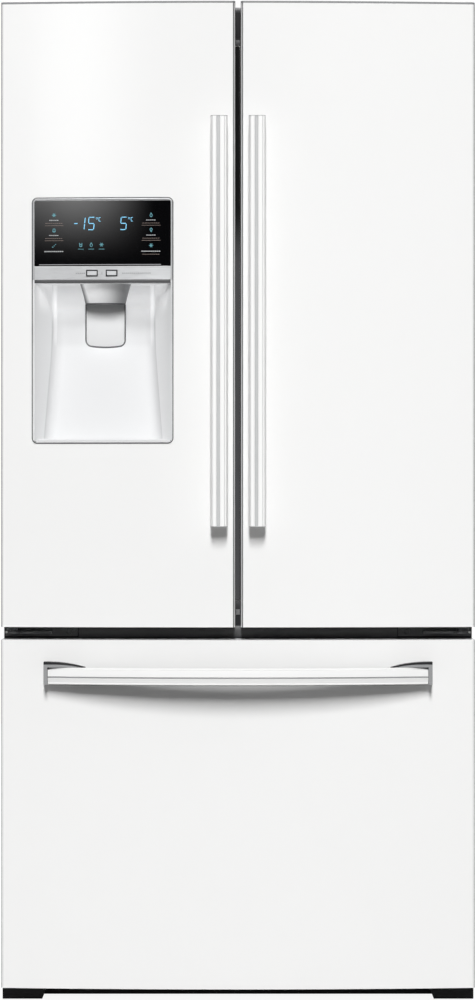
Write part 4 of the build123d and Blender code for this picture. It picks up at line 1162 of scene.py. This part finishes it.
class FRIDGE_OT_chute_and_paddle(bpy.types.Operator):
    """Metal funnel under the recess ceiling, and the framed paddle that swings below it"""

    bl_idname = "fridge.chute_and_paddle"
    bl_label = "Chute and paddle"

    chute_top: length("Chute top", "Half width of the funnel at the ceiling", 0.0449)
    paddle_half: length("Paddle", "Half width of the paddle", 0.03585)
    paddle_corner: length("Paddle corner", "Corner radius at the foot of the paddle", 0.010)
    bulge: length("Bulge", "How far the foot of the paddle curves down", 0.0040)
    lift: length("Lift", "Height of the foot over the lowest point of the lever", 0.0038)
    foot: length("Foot", "Height over which the paddle curves", 0.020)
    flatness: amount("Flatness", "Depth of the funnel as a share of its width", 0.5)
    waist: amount("Waist", "Share by which the funnel narrows half way up", 0.012)

    def execute(self, context):
        self.chute()
        self.paddle()
        return {"FINISHED"}

    def chute(self):
        low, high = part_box("ice_chute")
        bottom = LEVER_HIGH.z + 0.0012
        back = low.y + 0.022
        bm = self.shell((bottom, high.z), (self.paddle_half, self.chute_top), back)
        # Painted reflection, shade and light: bright on the left and dark on the right, painted shade along
        # the left edge, and a painted glow below the ceiling
        levels = (LEVER_MIDDLE - 0.020, LEVER_MIDDLE + 0.044)
        metal = surface(
            "chute_metal", (0.76, 0.765, 0.77), 0.34, texture="brushed_z", scale=500.0, bump=0.01,
            variation=0.02, spread=0.03, Metallic=0.5, upper=(0.14, 0.142, 0.146), levels=levels,
            axis=(1, 0, 0),
        )
        self.darken_edge(metal)
        painted_light_from_above(metal, strength=0.6, start=0.045, peak=0.001, share=1.0)
        item = piece("ice_funnel", bm, metal, "left_door")
        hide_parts("ice_chute")

        # Painted shade: a dark rim at the foot of the funnel stands in for the shade between the funnel and
        # the paddle
        reach = self.paddle_half - 0.0003
        bm = self.shell((bottom - 0.0026, bottom + 0.0004), (reach, reach + 0.0002), back)
        rim = surface("funnel_rim", (0.05, 0.051, 0.053), 0.5, scale=700.0, bump=0.03, variation=0.04)
        piece("ice_funnel_rim", bm, rim, "left_door")

    def shell(self, z, radii, back):
        """Thin flattened cone between two heights, open at the back."""
        tall = z[1] - z[0]
        bm = bmesh.new()
        bmesh.ops.create_cone(
            bm, cap_ends=False, segments=96, radius1=radii[0], radius2=radii[1], depth=tall
        )
        upright = [edge for edge in bm.edges if abs(edge.verts[0].co.z - edge.verts[1].co.z) > tall / 2]
        bmesh.ops.subdivide_edges(bm, edges=upright, cuts=6)
        for vert in bm.verts:
            waist = 1 - self.waist * math.sin(math.pi * (vert.co.z / tall + 0.5))
            vert.co = (vert.co.x * waist, vert.co.y * self.flatness * waist, vert.co.z)
        bmesh.ops.translate(bm, verts=bm.verts, vec=(LEVER_MIDDLE + 0.0004, back, z[0] + tall / 2))
        bmesh.ops.bisect_plane(
            bm, geom=whole(bm), plane_co=(0, back + 0.006, 0), plane_no=(0, 1, 0), clear_outer=True
        )
        bmesh.ops.recalc_face_normals(bm, faces=bm.faces)
        bmesh.ops.solidify(bm, geom=bm.faces, thickness=0.0012)
        return bm

    def darken_edge(self, material):
        """Painted shade: deepen the colour along the slanted left edge of the funnel."""
        tree = material.node_tree
        grain = tree.nodes["Principled BSDF"].inputs["Base Color"].links[0].from_node
        slant = (self.chute_top - self.paddle_half) / (RECESS_TOP - LEVER_HIGH.z)
        edge = LEVER_MIDDLE - self.chute_top + slant * RECESS_TOP
        shade = placed(tree, "two_tone")
        shade.inputs["Axis"].default_value = (1, 0, slant)
        shade.inputs["Lower"].default_value = (0.10, 0.102, 0.105, 1)
        shade.inputs["From"].default_value = edge + 0.001
        shade.inputs["To"].default_value = edge + 0.011
        tree.links.new(grain.inputs["Colour"].links[0].from_socket, shade.inputs["Upper"])
        tree.links.new(shade.outputs["Colour"], grain.inputs["Colour"])

    def paddle(self):
        x = (LEVER_MIDDLE - self.paddle_half, LEVER_MIDDLE + self.paddle_half)
        z = (LEVER_LOW.z + self.lift, LEVER_HIGH.z)
        bm = bmesh.new()
        tall = (z[0], z[1] + 0.03)
        thicken(bm, plate(bm, x, tall, self.paddle_corner, 8), 0.004)
        self.shape(bm, x, 0.0010, 0.0045)
        y, up = LEVER_AXIS
        disc(bm, (LEVER_MIDDLE, y, up), 0.0048, 2 * self.paddle_half - 0.006, "X")
        bar(bm, (x[0] + 0.006, y - 0.006, up - 0.006), (x[1] - 0.006, y, up + 0.0045), 0.001)
        # Painted shadow: the paddle turns dark towards its top, where the funnel's shadow falls
        white = surface(
            "paddle_white", (0.78, 0.785, 0.79), 0.3, scale=700.0, bump=0.015, variation=0.008,
            upper=(0.20, 0.202, 0.205), levels=(z[1] - 0.040, z[1] + 0.010),
        )
        item = piece("paddle", bm, white, "lever")
        item.visible_shadow = False
        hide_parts("dispenser_lever")

        bm = bmesh.new()
        ring(bm, x, tall, self.paddle_corner, 0.0025, 0.0022)
        self.shape(bm, x, 0.0004, 0.0009)
        grey = surface(
            "paddle_rim", (0.10, 0.102, 0.105), 0.45, texture="brushed_z", scale=400.0, bump=0.02,
            variation=0.04, spread=0.04,
        )
        item = piece("paddle_frame", bm, grey, "lever")
        item.visible_shadow = False

    def shape(self, bm, x, radius, depth):
        """Round a blank, cut it off at the lever's top, bow its foot downwards and set it in place."""
        soften(bm, radius)
        slice_x(bm, x, 14)
        cut_away(bm, (0, 0, LEVER_HIGH.z), (0, 0, 1))
        for vert in bm.verts:
            across = (vert.co.x - LEVER_MIDDLE) / self.paddle_half
            rise = (vert.co.z - LEVER_LOW.z - self.lift) / self.foot
            if rise < 1:
                vert.co.z -= self.bulge * (1 - across**2) * (1 - max(rise, 0))
        shifted(bm, LEVER_LOW.y + depth)


# Segments, signs and icons of the display, in parts of their width and height

SEGMENTS = {
    "a": ((0, 1), (1, 1)), "b": ((1, 1), (1, 0.5)), "c": ((1, 0.5), (1, 0)), "d": ((0, 0), (1, 0)),
    "e": ((0, 0), (0, 0.5)), "f": ((0, 0.5), (0, 1)), "g": ((0, 0.5), (1, 0.5)),
}
SIGNS = {"1": "bc", "5": "afgcd", "-": "g"}
ICONS = {
    "flake": [((-1, 0), (1, 0)), ((-0.5, -0.87), (0.5, 0.87)), ((-0.5, 0.87), (0.5, -0.87))],
    "bell": [
        ((-0.8, -0.6), (0.8, -0.6)), ((-0.65, -0.6), (-0.4, 0.7)), ((0.65, -0.6), (0.4, 0.7)),
        ((-0.4, 0.7), (0.4, 0.7)), ((-0.2, -1), (0.2, -1)),
    ],
    "steps": [((-1, -0.7), (-0.3, -0.7)), ((-0.2, -0.1), (0.4, -0.1)), ((0.5, 0.6), (1, 0.6))],
    "drop": [
        ((0, 1), (-0.6, -0.2)), ((0, 1), (0.6, -0.2)), ((-0.6, -0.2), (-0.3, -0.9)),
        ((0.6, -0.2), (0.3, -0.9)), ((-0.3, -0.9), (0.3, -0.9)),
    ],
    "lamp": [
        ((-0.6, 0.4), (0, 1)), ((0, 1), (0.6, 0.4)), ((0.6, 0.4), (0.25, -0.4)),
        ((-0.6, 0.4), (-0.25, -0.4)), ((-0.3, -0.5), (0.3, -0.5)), ((-0.2, -0.9), (0.2, -0.9)),
    ],
    "cup": [
        ((-0.65, 0.9), (-0.45, -0.9)), ((0.65, 0.9), (0.45, -0.9)), ((-0.45, -0.9), (0.45, -0.9)),
        ((-0.6, 0.2), (0.6, 0.2)),
    ],
}


class FRIDGE_OT_display(bpy.types.Operator):
    """Lit digits, icons and plain marks behind the control glass"""

    bl_idname = "fridge.display"
    bl_label = "Display"

    slant: amount("Slant", "Lean of the digits", 0.10)
    icon_half: length("Icon size", "Half the size of an icon", 0.0036)
    icon_stroke: length("Icon stroke", "Width of an icon's lines", 0.0010)

    def execute(self, context):
        self.digits()
        self.icons()
        self.labels()
        return {"FINISHED"}

    def laid(self, name, bm, material):
        """Finish strokes that were drawn on y = 0 as a film on the glass."""
        slice_x(bm, (GLASS_LOW.x, GLASS_HIGH.x), 24)
        bowed(bm, 0.00105)
        piece(name, bm, material, "left_door")

    def digits(self):
        size = sizes()
        low = GLASS_HIGH.z - 0.0512
        bm = bmesh.new()
        wide = size.digit_width
        signs = (("-", 0.0680, 0.0075), ("1", 0.0872, 0.0), ("5", 0.0940, wide), ("5", 0.1505, wide))
        for sign, x, across in signs:
            self.sign(bm, sign, GLASS_LOW.x + x, low, across)
        for x in (0.1098, 0.1663):
            self.degree(bm, GLASS_LOW.x + x, low + size.digit_height - 0.0020)
        self.laid("display_digits", bm, glowing("digit_light", finishes().digit, 0.42))

    def sign(self, bm, name, left, low, wide):
        size = sizes()
        gap = size.stroke * 0.55
        for segment in SIGNS[name]:
            points = []
            for across, up in SEGMENTS[segment]:
                rise = up * size.digit_height
                points.append(Vector((left + across * wide + rise * self.slant, low + rise)))
            along = (points[1] - points[0]).normalized() * gap
            stroke(bm, points[0] + along, points[1] - along, size.stroke)

    def degree(self, bm, x, z):
        """Degree ring and the open sign after it."""
        reach = 0.0012
        square = [(-1, -1), (1, -1), (1, 1), (-1, 1)]
        for start, end in zip(square, square[1:] + square[:1]):
            ends = [(x + across * reach, z + up * reach) for across, up in (start, end)]
            stroke(bm, ends[0], ends[1], 0.0006)
        left, low, high = x + 0.0036, z - 0.0050, z + 0.0014
        stroke(bm, (left, low), (left, high), 0.0008)
        stroke(bm, (left, low), (left + 0.0030, low), 0.0008)
        stroke(bm, (left, high), (left + 0.0030, high), 0.0008)

    def icons(self):
        bm = bmesh.new()
        top = GLASS_HIGH.z
        rows = (0.0255, 0.0520, 0.0790)
        columns = ((0.0345, ("flake", "bell", "steps")), (0.2050, ("drop", "lamp", "flake")))
        for x, names in columns:
            for name, drop in zip(names, rows):
                self.icon(bm, name, GLASS_LOW.x + x, top - drop)
        for x, name in ((0.0815, "cup"), (0.1000, "drop"), (0.1180, "flake")):
            middle, low = GLASS_LOW.x + x, top - 0.0852
            self.icon(bm, name, middle, top - 0.0775)
            stroke(bm, (middle - 0.005, low), (middle + 0.005, low), 0.0007)
        self.laid("display_icons", bm, glowing("icon_light", finishes().icon, 0.5))

    def icon(self, bm, name, x, z):
        half = self.icon_half
        for start, end in ICONS[name]:
            ends = [(x + across * half, z + up * half) for across, up in (start, end)]
            stroke(bm, ends[0], ends[1], self.icon_stroke)

    def labels(self):
        """Rows of plain dashes under the icons, and thin rules between the rows."""
        top = GLASS_HIGH.z
        rows = ((0.0345, 0.0095, 0.0013), (0.0610, 0.0095, 0.0013), (0.0892, 0.0170, 0.0016))
        marks = bmesh.new()
        rules = bmesh.new()
        for x, last in ((0.0345, 1), (0.2050, 2)):
            centre = GLASS_LOW.x + x
            for drop, half, height in rows:
                self.dashes(marks, centre, top - drop, half, height)
            for drop in (0.0398, 0.0664, 0.0945)[: last + 1]:
                self.dashes(rules, centre, top - drop, 0.0160, 0.0008)
            for drop in (0.0438, 0.0702):
                stroke(rules, (centre - 0.0165, top - drop), (centre + 0.0165, top - drop), 0.0006)
        self.laid("display_labels", marks, glowing("label_light", finishes().label, 0.45))
        self.laid("display_rules", rules, glowing("rule_light", (0.15, 0.115, 0.10), 0.4))

    def dashes(self, bm, centre, z, half, height):
        pitch = 0.0034
        count = int(2 * half / pitch)
        start = centre - count * pitch / 2
        for index in range(count):
            stroke(bm, (start + index * pitch, z), (start + (index + 0.74) * pitch, z), height)


class FRIDGE_OT_seals(bpy.types.Operator):
    """Bellows seals on the backs of the doors and the drawer"""

    bl_idname = "fridge.seals"
    bl_label = "Seals"

    carriers = {
        "left_door_gasket": "left_door",
        "right_door_gasket": "right_door",
        "freezer_gasket": "freezer_drawer",
    }

    def execute(self, context):
        wide = sizes().gasket_width
        for node, body in self.carriers.items():
            low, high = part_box(node)
            foot, face = low.y + 0.0002, high.y - 0.0002
            half = [
                (0.0, foot), (0.0, foot + 0.0016), (0.0040, foot + 0.0020), (0.0046, foot + 0.0042),
                (0.0020, foot + 0.0054), (0.0016, face - 0.0010), (0.0028, face),
            ]
            profile = half + [(wide - inset, y) for inset, y in half[::-1]]
            bm = bmesh.new()
            swept_frame(bm, (low.x, high.x), (low.z, high.z), 0.004, profile)
            item = piece(node + "_bellows", bm, seal_rubber(), body)
            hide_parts(node)
        return {"FINISHED"}


class FRIDGE_OT_fridge_fittings(bpy.types.Operator):
    """Lamps, shelf trim and ice maker front inside the cabinet"""

    bl_idname = "fridge.fridge_fittings"
    bl_label = "Fridge fittings"

    liner_wall: length("Liner wall", "Thickness of the liners", 0.002)
    # From the ceiling to the half shelves on either side
    left_drops = (0.470,)
    right_drops = (0.270, 0.510)

    def execute(self, context):
        freezer_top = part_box("freezer_liner")[1].z
        self.lamp("ceiling_lamp", (0.03, -0.215), (0.30, -0.095), LINER_TOP, 0.004)
        self.lamp("freezer_lamp", (-0.11, -0.225), (0.11, -0.165), freezer_top, 0.003)
        self.shelf_trim()
        self.ice_front()
        return {"FINISHED"}

    def lamp(self, name, low, high, liner_top, radius):
        """Flat lamp under the ceiling of a liner, between two (x, y) corners; it is two radii thick."""
        ceiling = liner_top - self.liner_wall
        bm = bmesh.new()
        bar(bm, (*low, ceiling - 2 * radius), (*high, ceiling + 0.0005), radius, 3)
        piece(name, bm, glowing("cabin_lamp", finishes().lamp, 7.0), "cabinet")

    def shelf_trim(self):
        """Rail along the front of each shelf."""
        far, near = SHELF_HIGH.x - 0.003, 0.011
        top = LINER_TOP - self.liner_wall
        rails = [(-far, -near, top - drop) for drop in self.left_drops]
        rails += [(near, far, top - drop) for drop in self.right_drops]
        rails.append((-far, far, SHELF_LOW.z))
        bm = bmesh.new()
        for left, right, z in rails:
            start = (left, SHELF_LOW.y - 0.0024, z - 0.001)
            bar(bm, start, (right, SHELF_LOW.y + 0.001, z + 0.013), 0.0011)
        piece("shelf_trim", bm, silver(), "cabinet")

    def ice_front(self):
        """Cover over the ice bucket, with a grip near its foot."""
        low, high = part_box("ice_maker")
        x, z = (low.x + 0.005, high.x - 0.005), (low.z + 0.006, high.z - 0.006)
        middle = (x[0] + x[1]) / 2
        bm = bmesh.new()
        thicken(bm, plate(bm, x, z, 0.012), 0.0035)
        soften(bm, 0.0010)
        ring(bm, (x[0] + 0.012, x[1] - 0.012), (z[0] + 0.06, z[1] - 0.012), 0.008, 0.003, 0.0045)
        ring(bm, (middle - 0.045, middle + 0.045), (z[0] + 0.014, z[0] + 0.046), 0.010, 0.004, 0.0065)
        shifted(bm, low.y - 0.0002)
        piece("ice_maker_front", bm, liner_white(), "cabinet")


class FRIDGE_OT_drawer_fronts(bpy.types.Operator):
    """Grip rails of the crispers, the freezer basket and the upper freezer drawer"""

    bl_idname = "fridge.drawer_fronts"
    bl_label = "Drawer fronts"

    def execute(self, context):
        for node in ("crisper_left", "crisper_right"):
            bm = bmesh.new()
            self.rail(bm, node, 0.003, 0.0028, (0.066, 0.030))
            self.grip(bm, node, 0.050, 0.0060, (0.033, 0.027), 0.0016)
            piece(node + "_rail", bm, liner_white(), node)
        bm = bmesh.new()
        self.rail(bm, "freezer_upper_drawer", 0.022, 0.0030, (0.040, 0.004))
        self.grip(bm, "freezer_upper_drawer", 0.090, 0.0075, (0.012, 0.004), 0.002)
        piece("upper_drawer_rail", bm, liner_white(), "upper_drawer")
        bm = bmesh.new()
        self.rail(bm, "freezer_basket", 0.016, 0.0030, (0.046, 0.006))
        piece("basket_rail", bm, liner_white(), "freezer_drawer")
        return {"FINISHED"}

    def rail(self, bm, node, inset, proud, drop):
        """Band across the front of a drawer; drop is how far its foot and top lie below the rim."""
        low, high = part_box(node)
        start = (low.x + inset, low.y - proud, high.z - drop[0])
        bar(bm, start, (high.x - inset, low.y + 0.0005, high.z - drop[1]), 0.0016)

    def grip(self, bm, node, half, proud, drop, radius):
        """Short ledge in the middle of a rail."""
        low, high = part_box(node)
        middle = (low.x + high.x) / 2
        start = (middle - half, low.y - proud, high.z - drop[0])
        bar(bm, start, (middle + half, low.y + 0.001, high.z - drop[1]), radius)


class FRIDGE_OT_bin_rails(bpy.types.Operator):
    """Rail along the front of each door bin"""

    bl_idname = "fridge.bin_rails"
    bl_label = "Bin rails"

    pitch: length("Pitch", "From one bin of the right door to the next", 0.230)
    left_pitch: length("Left pitch", "From the lowest bin of the left door to the next", 0.128)

    def execute(self, context):
        tall = sizes().bin_height
        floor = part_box("right_door_bins")[0].z
        left_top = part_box("left_door_bins")[1].z - tall
        rows = {
            "right": [floor + row * self.pitch for row in range(4)],
            "left": [floor, floor + self.left_pitch, left_top],
        }
        for side, levels in rows.items():
            low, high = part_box(side + "_door_bins")
            bm = bmesh.new()
            for z in levels:
                start = (low.x - 0.0004, high.y - 0.030, z + tall - 0.026)
                bar(bm, start, (high.x + 0.0004, high.y + 0.0028, z + tall + 0.0012), 0.0022, 3)
            piece(side + "_bin_rails", bm, silver(), side + "_door")
        return {"FINISHED"}


class FRIDGE_OT_stage(bpy.types.Operator):
    """Floor, soft light and the camera"""

    bl_idname = "fridge.stage"
    bl_label = "Stage"

    # Headings are unit vectors from the part; the window's limits are parts of such vectors
    flag_heading = (-0.17, -0.98, 0.06)
    window_left = 0.2
    window_half = 0.099
    window_foot = (0.0555, 0.083)
    window_head = (0.14, 0.22)
    window_light = 3.7

    def execute(self, context):
        scene = context.scene
        stage = scene.fridge_stage
        scene.view_settings.view_transform = "Standard"
        bm = bmesh.new()
        bmesh.ops.create_grid(bm, x_segments=8, y_segments=8, size=9)
        mesh = bpy.data.meshes.new("floor")
        bm.to_mesh(mesh)
        bm.free()
        floor = bpy.data.objects.new("floor", mesh)
        scene.collection.objects.link(floor)
        mesh.materials.append(self.floor_material(stage))
        self.world(scene, stage.fill_strength)

        camera = bpy.data.cameras.new("camera")
        camera.lens = stage.lens
        camera.sensor_width = 36
        camera.clip_end = 60
        view = bpy.data.objects.new("camera", camera)
        view.location = (-stage.camera_shift, -stage.camera_distance, stage.camera_height)
        view.rotation_euler = (math.pi / 2, 0, 0)
        scene.collection.objects.link(view)
        scene.camera = view
        self.soft_box(scene, stage)
        return {"FINISHED"}

    def soft_box(self, scene, stage):
        light = bpy.data.lights.new("key", "AREA")
        light.shape = "RECTANGLE"
        light.size, light.size_y = stage.key_width, stage.key_height
        light.energy = stage.key_power
        lamp = bpy.data.objects.new("key", light)
        aim = Vector((0, APEX, stage.key_aim))
        away = Vector((0, -math.cos(stage.key_rise), math.sin(stage.key_rise))) * stage.key_distance
        lamp.location = aim + away
        lamp.rotation_euler = (-away).to_track_quat("-Z", "Y").to_euler()
        scene.collection.objects.link(lamp)

    def floor_material(self, stage):
        """Pale floor that shows white but keeps the shadow of what stands on it."""
        material = bpy.data.materials.new("floor_white")
        material.use_nodes = True
        tree = material.node_tree
        bsdf = tree.nodes["Principled BSDF"]
        bsdf.inputs["Base Color"].default_value = (*[stage.floor_grey] * 3, 1)
        bsdf.inputs["Roughness"].default_value = 0.8
        glow = tree.nodes.new("ShaderNodeEmission")
        glow.inputs["Strength"].default_value = stage.floor_glow
        mix = tree.nodes.new("ShaderNodeMixShader")
        path = tree.nodes.new("ShaderNodeLightPath")
        tree.links.new(sums(tree, "MULTIPLY", self.seen(tree, path), stage.floor_share), mix.inputs[0])
        tree.links.new(bsdf.outputs[0], mix.inputs[1])
        tree.links.new(glow.outputs[0], mix.inputs[2])
        tree.links.new(mix.outputs[0], tree.nodes["Material Output"].inputs["Surface"])
        return material

    def seen(self, tree, path):
        """One for what the camera sees, also through glass."""
        return sums(tree, "MAXIMUM", path.outputs["Is Camera Ray"], path.outputs["Is Transmission Ray"])

    def world(self, scene, strength):
        """White to look at, soft to light with, and a studio for the fronts to reflect."""
        world = bpy.data.worlds.new("studio")
        world.use_nodes = True
        scene.world = world
        tree = world.node_tree
        path = tree.nodes.new("ShaderNodeLightPath")
        heading = tree.nodes.new("ShaderNodeTexCoord").outputs["Generated"]
        axes = tree.nodes.new("ShaderNodeSeparateXYZ")
        tree.links.new(heading, axes.inputs[0])
        behind = eased(tree, axes.outputs["Y"], (-0.1, 0.7), (0.0, 2.3))
        behind = sums(tree, "MULTIPLY", behind, eased(tree, axes.outputs["Z"], (0.1, 0.7), (1.0, 0.25)))
        soft = sums(tree, "ADD", behind, strength)
        studio = sums(tree, "ADD", self.flag(tree, heading, axes), self.window(tree, axes))
        lit = blended(tree, path.outputs["Is Glossy Ray"], soft, studio)
        shown = blended(tree, self.seen(tree, path), lit, 1.0)
        tree.links.new(shown, tree.nodes["Background"].inputs["Strength"])
        tree.nodes["Background"].inputs["Color"].default_value = (1, 1, 1, 1)

    def flag(self, tree, heading, axes):
        """Grey studio that falls off to the right, with a dark flag around the camera."""
        away = tree.nodes.new("ShaderNodeVectorMath")
        away.operation = "DISTANCE"
        away.inputs[1].default_value = self.flag_heading
        tree.links.new(heading, away.inputs[0])
        studio = eased(tree, away.outputs["Value"], (0.12, 0.32), (0.01, 0.75))
        return sums(tree, "MULTIPLY", studio, eased(tree, axes.outputs["X"], (0.15, 0.95), (1.0, 0.3)))

    def window(self, tree, axes):
        """Narrow window in front of the part, left of the camera."""
        side = sums(tree, "ABSOLUTE", sums(tree, "ADD", axes.outputs["X"], self.window_left), 0.0)
        window = eased(tree, side, (0.0, self.window_half), (self.window_light, 0.0))
        for limits, shares in ((self.window_foot, (0.0, 1.0)), (self.window_head, (1.0, 0.0))):
            window = sums(tree, "MULTIPLY", window, eased(tree, axes.outputs["Z"], limits, shares))
        return sums(tree, "MULTIPLY", window, sums(tree, "LESS_THAN", axes.outputs["Y"], 0.0))


OPERATORS = (
    FRIDGE_OT_finishes,
    FRIDGE_OT_door_handles,
    FRIDGE_OT_freezer_handle,
    FRIDGE_OT_edge_trim,
    FRIDGE_OT_hinge_details,
    FRIDGE_OT_dispenser_trim,
    FRIDGE_OT_chute_and_paddle,
    FRIDGE_OT_display,
    FRIDGE_OT_seals,
    FRIDGE_OT_fridge_fittings,
    FRIDGE_OT_drawer_fronts,
    FRIDGE_OT_bin_rails,
    FRIDGE_OT_stage,
)


class FRIDGE_PT_build(bpy.types.Panel):
    """Sidebar list of the steps"""

    bl_idname = "FRIDGE_PT_build"
    bl_label = "Refrigerator"
    bl_space_type = "VIEW_3D"
    bl_region_type = "UI"
    bl_category = "Refrigerator"

    def draw(self, context):
        for step in OPERATORS:
            self.layout.operator(step.bl_idname)


SETTINGS = {
    "fridge_finishes": FridgeFinishes,
    "fridge_sizes": FridgeSizes,
    "fridge_stage": FridgeStage,
}


def register():
    for cls in (*SETTINGS.values(), *OPERATORS, FRIDGE_PT_build):
        bpy.utils.register_class(cls)
    for name, cls in SETTINGS.items():
        setattr(bpy.types.Scene, name, PointerProperty(type=cls))


def unregister():
    for name in SETTINGS:
        delattr(bpy.types.Scene, name)
    for cls in (FRIDGE_PT_build, *reversed(OPERATORS), *SETTINGS.values()):
        bpy.utils.unregister_class(cls)


def main():
    register()
    for step in OPERATORS:
        family, action = step.bl_idname.split(".")
        getattr(getattr(bpy.ops, family), action)()


if __name__ == "__main__":
    main()
